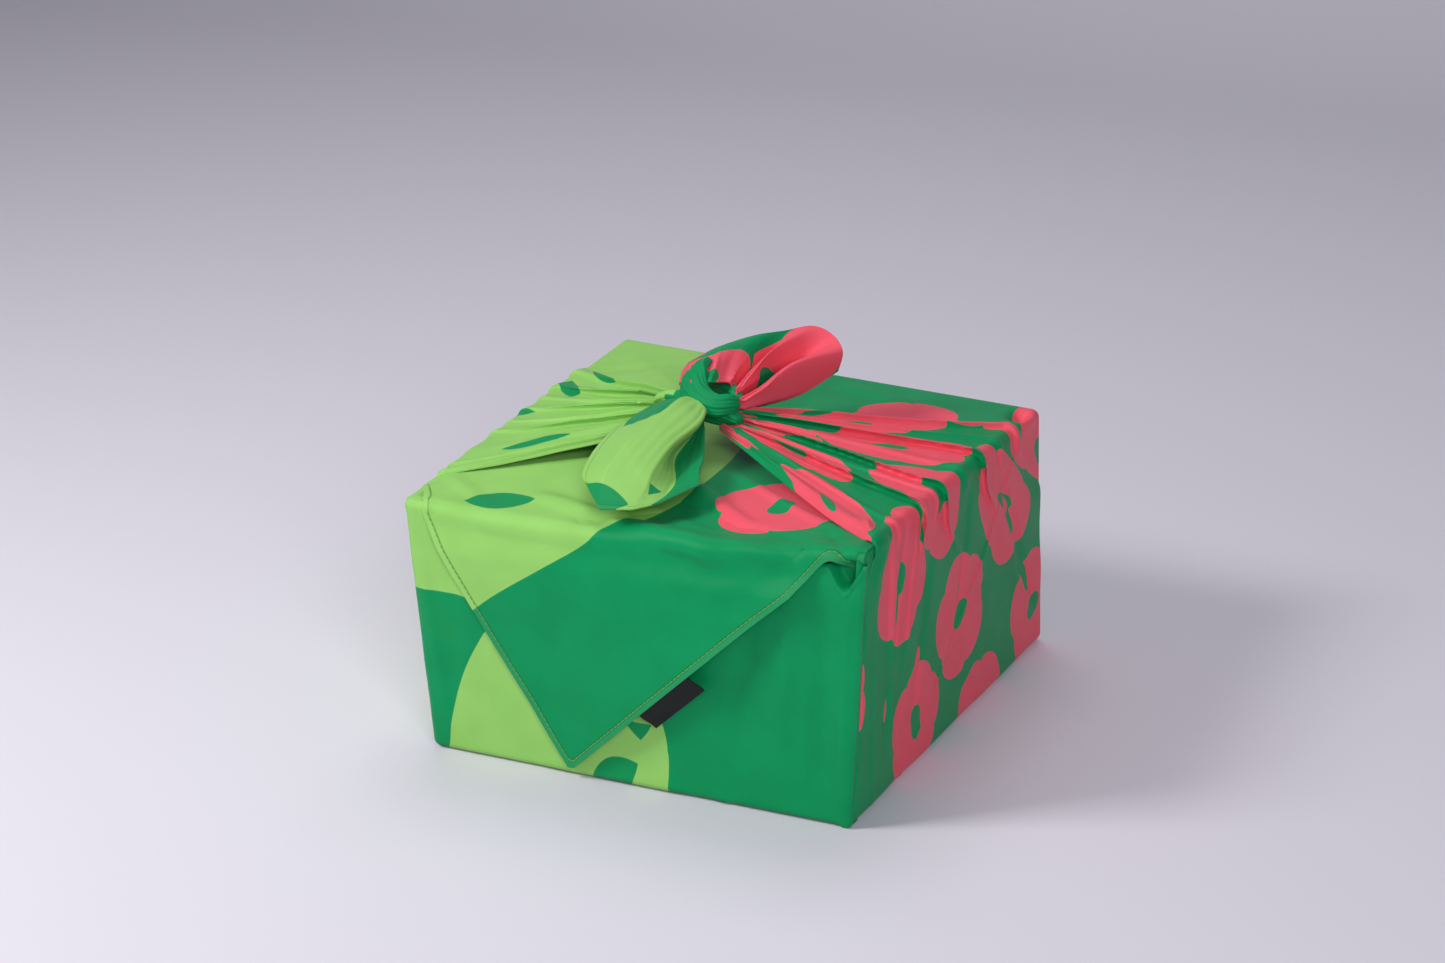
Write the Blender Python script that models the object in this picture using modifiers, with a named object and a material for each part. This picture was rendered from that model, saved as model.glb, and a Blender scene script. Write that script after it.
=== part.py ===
"""A square furoshiki cloth wrapped round a parcel and tied in a square knot on top.

The frame has its origin on the floor under the middle of the parcel: +X to the right, the front face towards -Y,
+Z up. The cloth is one solid: walls of folded cloth round a hollow, a hanging flap, two gathered side panels, the
knot and its two ears. The label sewn into the hem is the other solid.
"""

import math
from collections import namedtuple

import bmesh
import bpy
from mathutils import Vector

MM = 0.001

# Driving dimensions, in metres. A wall is the folded layers of cloth together. A sheet on it stands proud of it, or
# sinks into it a little where the two are joined.
WIDTH = 0.280
DEPTH = 0.301
HEIGHT = 0.161
EDGE_RADIUS = 0.005
WALL = 0.0031
CLOTH = 0.002
PROUD = 0.0012
SINK = 0.0006
FRONT_SAG = 0.006
BASE_RISE = 0.0002
FOOT_REACH = 0.012
NEAR_PANEL_RETURN = 0.0026
NEAR_PANEL_RADIUS = 0.0018
NEAR_PANEL_DROP = 0.0025
LABEL_THICKNESS = 0.001
LABEL_CLEARANCE = 0.0006
POCKET_RADIUS = 0.0062
POCKET_CENTRE = Vector((0.1235, -0.150, 0.1425))
POCKET_LENGTH = 0.040

# How far each corner of the soft parcel lies from a true box, in millimetres.
Corner = namedtuple("Corner", "side depth level dx dy dz")
CORNERS = (
    Corner(-1, -1, 1, -2.9, -3.5, -4.3),
    Corner(1, -1, 1, -0.4, 2.4, 6.0),
    Corner(1, 1, 1, 0.9, -1.8, -5.8),
    Corner(-1, 1, 1, -4.5, -0.7, 4.1),
    Corner(-1, -1, 0, 8.5, 3.4, 0.0),
    Corner(1, -1, 0, -5.9, -2.3, 0.0),
    Corner(1, 1, 0, 4.3, 2.5, 0.0),
    Corner(-1, 1, 0, 0.0, 0.0, 0.0),
)

# A ridge of a gathered side panel: where it lies across the panel (0 front, 1 back), its height, its half width
# across the panel, and how far down the wall it runs (1 reaches the floor).
Ridge = namedtuple("Ridge", "across height half_width run")
Side = namedtuple("Side", "side knot_front knot_back edge_front edge_back wall_front wall_back back_drop ridges")
RIGHT_SIDE = Side(
    side=1,
    knot_front=(2, -27, 179),
    knot_back=(6, -6, 186),
    edge_front=-137,
    edge_back=105,
    wall_front=-146,
    wall_back=147,
    back_drop=52,
    ridges=(
        Ridge(0.05, 4.0, 0.055, 0.10),
        Ridge(0.19, 2.6, 0.050, 0.05),
        Ridge(0.33, 3.6, 0.055, 0.62),
        Ridge(0.46, 3.6, 0.050, 0.50),
        Ridge(0.62, 2.6, 0.060, 0.20),
        Ridge(0.78, 3.8, 0.055, 0.42),
        Ridge(0.94, 3.4, 0.055, 0.10),
    ),
)
LEFT_SIDE = Side(
    side=-1,
    knot_front=(-24, -26, 177),
    knot_back=(-42, 6, 186),
    edge_front=-114,
    edge_back=84,
    wall_front=-146,
    wall_back=147,
    back_drop=60,
    ridges=(
        Ridge(0.05, 3.0, 0.050, 0.10),
        Ridge(0.22, 2.2, 0.060, 0.30),
        Ridge(0.40, 3.4, 0.060, 0.45),
        Ridge(0.58, 3.6, 0.055, 0.25),
        Ridge(0.76, 4.2, 0.050, 0.40),
        Ridge(0.93, 4.2, 0.055, 0.15),
    ),
)
# A ridge grows over this share of the top, and a panel's front border turns upright over this drop below it.
RIDGE_GROWTH = 0.3
FRONT_DROP = 20

# How finely each shape is divided.
TOP_ROWS, ARC_ROWS, WALL_ROWS = 6, 3, 4
SIDE_ROWS = TOP_ROWS + ARC_ROWS + WALL_ROWS + ARC_ROWS
RIGHT_COLUMNS, LEFT_COLUMNS = 26, 24
CORE_CELLS = (5, 5, 4)
HOLLOW_CELLS = (4, 4, 3)
NEAR_PANEL_CELLS = (5, 1, 4)
STRAND_SIDES = 12
STRAND_STEPS = 3

# The flap hangs over the front edge, cornered at its tip: its borders as (x, height) in millimetres, and how far its
# right hem stands off the front. It comes free of the panel behind below FLAP_FREE_FROM. The two shares are those of
# its rows on the top and round the edge.
FLAP_TOP_REACH = 36
FLAP_TIP = (-41, 7)
FLAP_LEFT_TOP = -129
FLAP_LEFT_BOW = 1.2
FLAP_RIGHT_TOP = (123.5, 154)
FLAP_RIGHT_EDGE = 137
FLAP_TIP_WIDTH = 4
FLAP_REST_GAP = 1.2
FLAP_HEM_LIFT = 9
FLAP_FREE_FROM = 8
FLAP_FREE_OVER = 22
FLAP_RADIUS = 0.006
FLAP_TOP_SHARE = 0.12
FLAP_ARC_SHARE = 0.16

# The front ear, a row for each section from the knot to the hem. Each place is (x, y, z) in millimetres.
FrontSection = namedtuple("FrontSection", "left_border crest fold valley right_border")
FRONT_EAR = (
    FrontSection((-26, -14, 186), (-20, -24, 195), (-5, -36, 193), (-9, -30, 185), (-12, -24, 181)),
    FrontSection((-44, -17, 185), (-24, -44, 197), (-1, -56, 191), (-10, -46, 179), (-4, -40, 180)),
    FrontSection((-52, -57, 182), (-24, -74, 194), (-4, -86, 187), (-9, -72, 174), (9, -70, 177)),
    FrontSection((-52, -88, 178), (-25, -104, 189), (-4, -112, 180), (2, -98, 171), (16, -92, 177)),
    FrontSection((-48, -112, 173), (-27, -128, 180), (-2, -128, 174), (7, -118, 170), (21, -104, 176)),
    FrontSection((-42, -122, 171), (-18, -154, 169), (-1, -147, 169), (10, -134, 170), (24, -110, 175)),
)

# The rear ear opens from the knot like a scoop. A row is one section from the knot to the rim.
RearSection = namedtuple("RearSection", "low_border roll dip pleat hollow wall lobe_top lobe lobe_end")
REAR_EAR = (
    RearSection(
        (4, -10, 187), (7, -16, 192), (3, -9, 190), (3, -9, 197), (0, -5, 194), (-3, -6, 199),
        (-10, -14, 202), (-18, -20, 201), (-22, -22, 196),
    ),
    RearSection(
        (10, 12, 186), (15, 2, 199), (6, 12, 190), (6, 8, 203), (0, 18, 195), (-7, 12, 203),
        (-14, 0, 208), (-24, -9, 206), (-28, -15, 197),
    ),
    RearSection(
        (20, 40, 187), (24, 28, 206), (12, 42, 195), (8, 38, 209), (2, 44, 203), (-8, 32, 210),
        (-20, 14, 211), (-32, 2, 206), (-34, -6, 196),
    ),
    RearSection(
        (38, 62, 195), (42, 60, 206), (33, 70, 212), (20, 70, 216), (6, 58, 215), (-8, 44, 214),
        (-26, 24, 209), (-38, 10, 201), (-37, -2, 193),
    ),
)

# The strands that cross in the knot: a row for each section of the band, with its centre, the direction of its
# width, its half width and its half thickness.
Strand = namedtuple("Strand", "centre width_axis half_width half_thickness")
OVER_BAND = (
    Strand((-30, 2, 200), (0.5, 0.2, 0.84), 6, 4.5),
    Strand((-22, -13, 202), (0.64, 0.5, 0.58), 11, 5),
    Strand((-10, -25, 200), (0.6, 0.62, 0.5), 12.5, 5.5),
    Strand((0, -32, 194), (0.35, 0.75, 0.55), 11.5, 5.5),
    Strand((1, -30, 186), (0.1, 0.95, 0.3), 9, 5),
    Strand((-6, -22, 180), (0.0, 1.0, 0.1), 8, 4),
)
UNDER_BAND = (
    Strand((-46, 4, 182), (0.55, -0.8, 0.1), 15, 3.5),
    Strand((-30, -8, 185), (0.4, -0.8, 0.4), 13, 6),
    Strand((-12, -16, 187), (0.2, -0.7, 0.7), 12, 8),
    Strand((2, -19, 184), (0.0, -0.8, 0.6), 10, 6),
    Strand((12, -19, 182), (0.0, -0.95, 0.3), 9, 3),
)
SIDE_LOOP = (
    Strand((-3, 2, 202), (1, 0, 0), 4.5, 4.5),
    Strand((5, -10, 202), (1, 0, 0), 5, 4.5),
    Strand((7, -17, 196), (1, 0, 0), 5, 4.5),
    Strand((4, -20, 188), (1, 0, 0), 5, 4.5),
)

# The label along the flap's right hem, in millimetres: how far below the flap's top it starts, and its size.
LABEL_START = 156
LABEL_LENGTH = 44
LABEL_SEWN_IN = 4
LABEL_SHOWING = 12
LABEL_DROOP = 5


def clamp(value, low=0.0, high=1.0):
    return max(low, min(high, value))


def smooth(value):
    """0 to 1, easing in and out."""
    value = clamp(value)
    return value * value * (3 - 2 * value)


def mix(first, second, share):
    return first * (1 - share) + second * share


def place(x, y, z):
    """A point given in millimetres."""
    return Vector((x, y, z)) * MM


def settle(point):
    """Moves a point of the true box to its place on the soft parcel."""
    share_x = clamp(point.x / WIDTH + 0.5, -0.05, 1.05)
    share_y = clamp(point.y / DEPTH + 0.5, -0.05, 1.05)
    share_z = clamp(point.z / HEIGHT, 0.0, 1.1)
    shift = Vector()
    for corner in CORNERS:
        weight = share_x if corner.side > 0 else 1 - share_x
        weight *= share_y if corner.depth > 0 else 1 - share_y
        weight *= share_z if corner.level else 1 - share_z
        shift += weight * place(corner.dx, corner.dy, corner.dz)
    # The top sags between its two front corners, fading out by a third of the depth and of the height.
    sag = math.sin(math.pi * clamp(share_x)) * smooth(1 - 3 * share_y) * smooth(3 * share_z - 2)
    shift.z -= FRONT_SAG * sag
    # The folds are thickest at the base's four corners, so it rests there and is a little higher between them.
    from_foot = math.hypot(abs(point.x) - WIDTH / 2 + EDGE_RADIUS, abs(point.y) - DEPTH / 2 + EDGE_RADIUS)
    shift.z += BASE_RISE * clamp(from_foot / FOOT_REACH) * clamp(1 - point.z / WALL)
    return point + shift


def curve_through(points, share):
    """A point on the smooth curve through the given points, at a share of its length in points."""
    last = len(points) - 1
    position = clamp(share) * last
    index = min(int(position), last - 1)
    t = position - index
    p0, p1, p2, p3 = (points[clamp(index + step, 0, last)] for step in (-1, 0, 1, 2))
    return 0.5 * (
        2 * p1 + (p2 - p0) * t + (2 * p0 - 5 * p1 + 4 * p2 - p3) * t**2 + (3 * p1 - p0 - 3 * p2 + p3) * t**3
    )


def patch(sections):
    """The smooth surface through a table of sections, as a function of two shares."""
    rows = [[place(*column) for column in section] for section in sections]

    def surface(across, along):
        return curve_through([curve_through(row, across) for row in rows], along)

    return surface


def object_of(name, mesh):
    data = bpy.data.meshes.new(name)
    mesh.to_mesh(data)
    mesh.free()
    return bpy.data.objects.new(name, data)


def block(name, low, high, radius, cells):
    """A box with rounded edges, cut into cells and settled to the parcel's soft shape."""
    mesh = bmesh.new()
    bmesh.ops.create_cube(mesh, size=1.0)
    size = high - low
    for vert in mesh.verts:
        vert.co = Vector(low[axis] + (vert.co[axis] + 0.5) * size[axis] for axis in range(3))
    if radius:
        bmesh.ops.bevel(mesh, geom=mesh.edges[:], offset=radius, segments=3, profile=0.5, affect="EDGES")
    for axis in range(3):
        normal = Vector((axis == 0, axis == 1, axis == 2))
        for step in range(1, cells[axis]):
            point = low + normal * size[axis] * step / cells[axis]
            geometry = mesh.verts[:] + mesh.edges[:] + mesh.faces[:]
            bmesh.ops.bisect_plane(mesh, geom=geometry, plane_co=point, plane_no=normal)
    for vert in mesh.verts:
        vert.co = settle(vert.co)
    bmesh.ops.triangulate(mesh, faces=mesh.faces[:])
    return object_of(name, mesh)


def sheet(name, surface, across, along, thickness=CLOTH):
    """A sheet of cloth on the given surface, thickened inwards."""
    mesh = bmesh.new()
    bmesh.ops.create_grid(mesh, x_segments=across, y_segments=along, size=0.5)
    for vert in mesh.verts:
        vert.co = surface(vert.co.x + 0.5, vert.co.y + 0.5)
    bmesh.ops.triangulate(mesh, faces=mesh.faces[:])
    made = object_of(name, mesh)
    solidify = made.modifiers.new("thickness", "SOLIDIFY")
    solidify.thickness = thickness
    solidify.offset = -1
    made.modifiers.new("triangles", "TRIANGULATE")
    return made


def ridge_height(side, across, top_share, wall_share):
    """How far the gathers of a side panel stand off its even surface."""
    total = 0.0
    for ridge in side.ridges:
        profile = math.cos(math.pi / 2 * clamp((across - ridge.across) / ridge.half_width, -1, 1)) ** 2
        grown = smooth(top_share / RIDGE_GROWTH)
        kept = smooth(1 - wall_share / ridge.run)
        total += ridge.height * profile * grown * kept
    return total * MM


def stage_of(along, rows):
    """Which stage of a panel's run a share falls in, given each stage's rows, and the share of that stage."""
    position = clamp(along) * sum(rows)
    for stage, count in enumerate(rows):
        if position <= count or stage == len(rows) - 1:
            return stage, clamp(position / count)
        position -= count


def bottom_fold(angle):
    """How proud a panel stands as it turns under the bottom edge, where it joins the flat underside."""
    return mix(PROUD, -SINK, angle / (math.pi / 2))


def side_panel(side):
    """The surface of a side panel: from the knot to the top edge, over it, down the wall and under."""
    knot_front, knot_back = place(*side.knot_front), place(*side.knot_back)
    fold_x = WIDTH / 2 - EDGE_RADIUS
    fold_z = HEIGHT - EDGE_RADIUS

    def surface(across, along):
        stage, share = stage_of(along, (TOP_ROWS, ARC_ROWS, WALL_ROWS, ARC_ROWS))
        edge_y = mix(side.edge_front, side.edge_back, across) * MM
        wall_y = mix(side.wall_front, side.wall_back, across) * MM
        if stage == 0:
            edge = Vector((side.side * fold_x, edge_y, HEIGHT + PROUD))
            point = mix(mix(knot_front, knot_back, across), edge, share)
            return settle(point + Vector((0, 0, ridge_height(side, across, share, 0))))
        if stage == 1:
            angle = math.pi / 2 * share
            normal = Vector((side.side * math.sin(angle), 0, math.cos(angle)))
            lift = EDGE_RADIUS + PROUD + ridge_height(side, across, 1, 0)
            return settle(Vector((side.side * fold_x, edge_y, fold_z)) + normal * lift)
        if stage == 2:
            height = mix(fold_z, EDGE_RADIUS, share)
            below = (fold_z - height) / MM
            front = mix(side.edge_front, side.wall_front, smooth(below / FRONT_DROP))
            back = mix(side.edge_back, side.wall_back, smooth(below / side.back_drop))
            standing = PROUD + ridge_height(side, across, 1, share)
            return settle(Vector((side.side * (WIDTH / 2 + standing), mix(front, back, across) * MM, height)))
        angle = math.pi / 2 * share
        normal = Vector((side.side * math.cos(angle), 0, -math.sin(angle)))
        centre = Vector((side.side * fold_x, wall_y, EDGE_RADIUS))
        return settle(centre + normal * (EDGE_RADIUS + bottom_fold(angle)))

    if side.side > 0:
        return lambda u, v: surface(v, u)
    return surface


def flap_borders(height):
    """The flap's left and right borders at a height above the floor, all in millimetres."""
    tip_x, tip_z = FLAP_TIP
    top = HEIGHT / MM
    down = clamp((top - height) / (top - tip_z))
    left = mix(FLAP_LEFT_TOP, tip_x - FLAP_TIP_WIDTH / 2, down**FLAP_LEFT_BOW)
    hem_x, hem_z = FLAP_RIGHT_TOP
    along_hem = (hem_z - height) / (hem_z - tip_z)
    right = mix(hem_x, tip_x + FLAP_TIP_WIDTH / 2, clamp(along_hem))
    right = mix(FLAP_RIGHT_EDGE, right, smooth((top - height) / (top - hem_z)))
    return left, right


def flap_freedom(height):
    """0 where the flap lies on the wall, 1 where it hangs free of it."""
    return smooth((HEIGHT / MM - FLAP_FREE_FROM - height) / FLAP_FREE_OVER)


def flap_gap(across, height):
    """The air between the hanging flap and the panel behind it, in metres."""
    top = HEIGHT / MM
    lift = FLAP_HEM_LIFT * across**2 * math.sin(math.pi * clamp((top - height) / (top - FLAP_TIP[1])))
    return flap_freedom(height) * (FLAP_REST_GAP + lift) * MM


def flap_point(across, height):
    """A point of the flap's outer face below the top edge, before it settles."""
    left, right = flap_borders(height)
    standing = PROUD + CLOTH * flap_freedom(height) + flap_gap(across, height)
    return Vector((mix(left, right, across) * MM, -DEPTH / 2 - PROUD - standing, height * MM))


def flap():
    """The corner of the cloth that comes over the top and hangs down the front."""
    start_y = -DEPTH / 2 + FLAP_TOP_REACH * MM
    arc_y = -DEPTH / 2 + FLAP_RADIUS
    arc_z = HEIGHT - FLAP_RADIUS

    def surface(across, along):
        left, right = flap_borders(HEIGHT / MM)
        x = mix(left, right, across) * MM
        if along <= FLAP_TOP_SHARE:
            y = mix(start_y, arc_y, along / FLAP_TOP_SHARE)
            rise = mix(-SINK, PROUD, smooth(2 * along / FLAP_TOP_SHARE))
            return settle(Vector((x, y, HEIGHT + rise)))
        if along <= FLAP_TOP_SHARE + FLAP_ARC_SHARE:
            angle = math.pi / 2 * (along - FLAP_TOP_SHARE) / FLAP_ARC_SHARE
            lift = FLAP_RADIUS + mix(PROUD, 2 * PROUD, math.sin(angle))
            height = arc_z + lift * math.cos(angle)
            left, right = flap_borders(min(height / MM, HEIGHT / MM))
            return settle(Vector((mix(left, right, across) * MM, arc_y - lift * math.sin(angle), height)))
        share = (along - FLAP_TOP_SHARE - FLAP_ARC_SHARE) / (1 - FLAP_TOP_SHARE - FLAP_ARC_SHARE)
        return settle(flap_point(across, mix(arc_z / MM, FLAP_TIP[1], share)))

    return lambda u, v: surface(u, 1 - v)


def label_surface():
    """The label, sewn under the flap's right hem and drooping back towards the panel behind."""
    hem_x, hem_z = FLAP_RIGHT_TOP
    tip_x, tip_z = FLAP_TIP
    along_hem = Vector((tip_x - hem_x, 0, tip_z - hem_z)).normalized()
    outwards = Vector((-along_hem.z, 0, along_hem.x))
    start_z = hem_z + LABEL_START * along_hem.z
    start_x = flap_borders(start_z)[1]
    reach = LABEL_SEWN_IN + LABEL_SHOWING

    def surface(across, along):
        out = across * reach - LABEL_SEWN_IN
        spot = Vector((start_x, 0, start_z)) + along_hem * (-LABEL_LENGTH * along) + outwards * out
        left, right = flap_borders(spot.z)
        share = clamp((spot.x - left) / (right - left))
        behind = flap_point(share, spot.z).y + CLOTH + LABEL_CLEARANCE
        droop = LABEL_DROOP * MM * smooth(out / LABEL_SHOWING)
        return settle(Vector((spot.x * MM, behind + droop, spot.z * MM)))

    return surface


def strand(name, sections):
    """A band of gathered cloth: a closed loft through its sections."""
    centres = [place(*section.centre) for section in sections]
    steps = STRAND_STEPS * (len(sections) - 1)
    mesh = bmesh.new()
    rings = []
    for step in range(steps + 1):
        share = step / steps
        centre = curve_through(centres, share)
        ahead = (curve_through(centres, share + 0.01) - curve_through(centres, share - 0.01)).normalized()
        axis = curve_through([Vector(section.width_axis) for section in sections], share)
        wide = (axis - ahead * axis.dot(ahead)).normalized()
        thick = ahead.cross(wide)
        half_width = curve_through([section.half_width for section in sections], share) * MM
        half_thick = curve_through([section.half_thickness for section in sections], share) * MM
        ring = []
        for side in range(STRAND_SIDES):
            angle = 2 * math.pi * side / STRAND_SIDES
            offset = wide * math.cos(angle) * half_width + thick * math.sin(angle) * half_thick
            ring.append(mesh.verts.new(centre + offset))
        rings.append(ring)
    for first, second in zip(rings, rings[1:]):
        for side in range(STRAND_SIDES):
            following = (side + 1) % STRAND_SIDES
            mesh.faces.new((first[side], first[following], second[following], second[side]))
    mesh.faces.new(rings[0][::-1])
    mesh.faces.new(rings[-1])
    bmesh.ops.recalc_face_normals(mesh, faces=mesh.faces[:])
    bmesh.ops.triangulate(mesh, faces=mesh.faces[:])
    return object_of(name, mesh)


def pocket_cutter():
    """The open pocket beside the front upright corner, where the flap's hem tucks in."""
    mesh = bmesh.new()
    bmesh.ops.create_cone(
        mesh, cap_ends=True, segments=10, radius1=POCKET_RADIUS, radius2=POCKET_RADIUS, depth=POCKET_LENGTH
    )
    for vert in mesh.verts:
        vert.co = POCKET_CENTRE + Vector((vert.co.x, -vert.co.z, vert.co.y))
    bmesh.ops.recalc_face_normals(mesh, faces=mesh.faces[:])
    return object_of("pocket_cutter", mesh)


def material(name, colour, roughness):
    made = bpy.data.materials.new(name)
    made.use_nodes = True
    shader = made.node_tree.nodes["Principled BSDF"]
    shader.inputs["Base Color"].default_value = (*colour, 1)
    shader.inputs["Roughness"].default_value = roughness
    shader.inputs["Metallic"].default_value = 0
    return made


def combine(target, other, operation):
    modifier = target.modifiers.new(other.name, "BOOLEAN")
    modifier.operation = operation
    modifier.solver = "EXACT"
    modifier.object = other


def helper(obj, collection):
    """Keeps an object that another one is joined to or cut by out of the render."""
    obj.hide_render = True
    obj.display_type = "WIRE"
    collection.objects.link(obj)


def main():
    for obj in list(bpy.data.objects):
        bpy.data.objects.remove(obj, do_unlink=True)
    parts = bpy.data.collections.new("furoshiki_wrap")
    helpers = bpy.data.collections.new("helpers")
    bpy.context.scene.collection.children.link(parts)
    bpy.context.scene.collection.children.link(helpers)

    half = Vector((WIDTH / 2, DEPTH / 2, 0))
    up = Vector((0, 0, HEIGHT))
    inset = Vector((WALL, WALL, WALL))
    cloth = block("wrapping_cloth", -half, half + up, EDGE_RADIUS, CORE_CELLS)
    cloth.data.materials.append(material("printed_cloth", (0.03, 0.36, 0.11), 0.5))
    parts.objects.link(cloth)
    cavity = block("hollow", -half + inset, half + up - inset, 0, HOLLOW_CELLS)
    helper(cavity, helpers)
    combine(cloth, cavity, "DIFFERENCE")
    near_low = Vector((-WIDTH / 2 - PROUD, -DEPTH / 2 - PROUD, SINK))
    near_high = Vector((WIDTH / 2 + PROUD, -DEPTH / 2 + NEAR_PANEL_RETURN, HEIGHT - NEAR_PANEL_DROP))
    pieces = (
        block("near_panel", near_low, near_high, NEAR_PANEL_RADIUS, NEAR_PANEL_CELLS),
        sheet("right_panel", side_panel(RIGHT_SIDE), SIDE_ROWS, RIGHT_COLUMNS),
        sheet("left_panel", side_panel(LEFT_SIDE), LEFT_COLUMNS, SIDE_ROWS),
        sheet("flap", flap(), 10, 16),
        sheet("front_ear", patch(FRONT_EAR), 14, 12),
        sheet("rear_ear", patch(REAR_EAR), 22, 9),
        strand("over_band", OVER_BAND),
        strand("under_band", UNDER_BAND),
        strand("side_loop", SIDE_LOOP),
    )
    for piece in pieces:
        helper(piece, helpers)
        combine(cloth, piece, "UNION")
    pocket = pocket_cutter()
    helper(pocket, helpers)
    combine(cloth, pocket, "DIFFERENCE")

    label = sheet("care_label", label_surface(), 4, 6, LABEL_THICKNESS)
    label.data.materials.append(material("woven_label", (0.006, 0.006, 0.008), 0.6))
    parts.objects.link(label)


main()
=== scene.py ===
"""Dresses a furoshiki wrap: a printed cloth wrapped round a parcel and tied in a square knot on top.

The sizes here are in millimetres until a mesh is made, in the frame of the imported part: origin on the floor under the
middle of the parcel, +X to the right, the front face towards -Y and +Z up. The flat cloth has a plane of its own for
its print, p to the right and q to the back, with its middle under the middle of the parcel.
"""

import logging
import math
from dataclasses import dataclass
from enum import Enum

import bmesh
import bpy
import numpy as np
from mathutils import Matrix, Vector


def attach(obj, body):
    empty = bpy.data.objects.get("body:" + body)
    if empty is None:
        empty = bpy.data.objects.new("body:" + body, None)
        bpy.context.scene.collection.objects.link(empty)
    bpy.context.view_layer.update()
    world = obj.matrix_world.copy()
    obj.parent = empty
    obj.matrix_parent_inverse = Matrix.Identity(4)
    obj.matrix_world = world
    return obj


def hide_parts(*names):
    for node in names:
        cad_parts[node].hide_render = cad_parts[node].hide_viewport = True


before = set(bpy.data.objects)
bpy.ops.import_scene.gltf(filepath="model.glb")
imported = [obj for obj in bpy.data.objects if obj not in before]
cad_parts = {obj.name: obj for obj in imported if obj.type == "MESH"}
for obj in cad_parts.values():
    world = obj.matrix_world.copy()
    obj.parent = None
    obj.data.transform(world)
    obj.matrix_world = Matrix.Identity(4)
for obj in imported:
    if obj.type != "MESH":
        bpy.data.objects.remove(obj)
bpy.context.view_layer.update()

MM = 0.001
CLOTH_MAP = "Cloth"
HEM_DISTANCE = "hem_distance"
FAR_FROM_HEM = 60.0
WELD_DISTANCE = 0.02
BUMP_DISTANCE = 0.001
SHARP_FROM = 62.0
FULL_TURN = 6.28
Array = np.ndarray
log = logging.getLogger("furoshiki")


class Held(Enum):
    """How a piece of the cloth is held."""

    DRAPED = "draped"
    GATHERED = "gathered"
    FOLDED = "folded"
    STRETCHED = "stretched"


def smooth(value: Array | float) -> Array:
    """Returns 0 to 1 as value goes from 0 to 1, easing in and out."""
    value = np.clip(value, 0.0, 1.0)
    return value * value * (3 - 2 * value)


def mix(first: Array | float, second: Array | float, share: Array | float) -> Array:
    """Returns first at share 0 and second at share 1."""
    return first * (1 - share) + second * share


def bell(offset: Array | float, half_width: Array | float) -> Array:
    """Returns a soft ridge: 1 at no offset, 0 from half_width on."""
    return np.cos(math.pi / 2 * np.clip(np.abs(offset) / half_width, 0, 1)) ** 2


def through(points: Array, share: Array) -> Array:
    """Reads smooth curves through rows of points.

    Args:
        points: The rows, with any shape after the first axis.
        share: Where to read, from 0 at the first row to 1 at the last.

    Returns:
        An array of the shape of share, with the shape of a row after it.
    """
    last = len(points) - 1
    position = np.clip(share, 0, 1) * last
    index = np.minimum(position.astype(int), last - 1)
    t = (position - index).reshape(position.shape + (1,) * (points.ndim - 1))
    p0, p1, p2, p3 = (points[np.clip(index + step, 0, last)] for step in (-1, 0, 1, 2))
    curve = 2 * p1 + (p2 - p0) * t + (2 * p0 - 5 * p1 + 4 * p2 - p3) * t**2
    return 0.5 * (curve + (3 * p1 - p0 - 3 * p2 + p3) * t**3)


def patch(table: tuple, across: Array, along: Array, sharp: float = 0.0) -> Array:
    """Reads the smooth surface through a table of sections.

    Args:
        table: The sections, each a row of points in millimetres.
        across: Shares along a section.
        along: Shares from the first section to the last.
        sharp: How angular the last sections are, from 0 to 1.

    Returns:
        Points by along, then by across.
    """
    table = np.array(table, float)
    rows = through(table, along)
    curved = through(rows.transpose(1, 0, 2), across).transpose(1, 0, 2)
    at = across * (rows.shape[1] - 1)
    low = np.minimum(at.astype(int), rows.shape[1] - 2)
    straight = mix(rows[:, low], rows[:, low + 1], (at - low)[None, :, None])
    return mix(curved, straight, (sharp * smooth((along - 0.25) / 0.5))[:, None, None])


def distance_to(path: Array, places: Array) -> Array:
    """Measures how far places lie from a path of straight pieces.

    Args:
        path: The path's points, in a plane.
        places: Points in the same plane, in any array shape.

    Returns:
        The distance of each place.
    """
    flat = places.reshape(-1, 1, 2)
    start, run = path[:-1], np.diff(path, axis=0)
    share = np.clip(((flat - start) * run).sum(2) / np.maximum((run**2).sum(1), 1e-9), 0, 1)
    gaps = np.linalg.norm(flat - start - run * share[..., None], axis=2)
    return gaps.min(axis=1).reshape(places.shape[:-1])


def normals_of(points: Array) -> Array:
    """Returns the unit normals of a grid of points, rows by columns."""
    normal = np.cross(np.gradient(points, axis=1), np.gradient(points, axis=0))
    return normal / np.maximum(np.linalg.norm(normal, axis=2, keepdims=True), 1e-9)


@dataclass(frozen=True)
class Fold:
    """A soft fold or a storage crease in a panel, along a line of its own plane.

    A height over zero is a ridge and one under zero a trough. The fade is the share of its length that an end takes.
    """

    start: tuple[float, float]
    end: tuple[float, float]
    height: float
    half_width: float
    fade: float = 0.2

    def lift(self, a: Array, s: Array) -> Array:
        """Measures the fold.

        Args:
            a: Places across the panel.
            s: Places along it.

        Returns:
            How far the fold lifts the cloth at each place.
        """
        start, end = np.array(self.start), np.array(self.end)
        run = end - start
        length = np.hypot(*run)
        along = ((a - start[0]) * run[0] + (s - start[1]) * run[1]) / length**2
        away = ((a - start[0]) * run[1] - (s - start[1]) * run[0]) / length
        ends = smooth(along / self.fade + 0.5) * smooth((1 - along) / self.fade + 0.5)
        return self.height * bell(away, self.half_width) * ends


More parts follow.
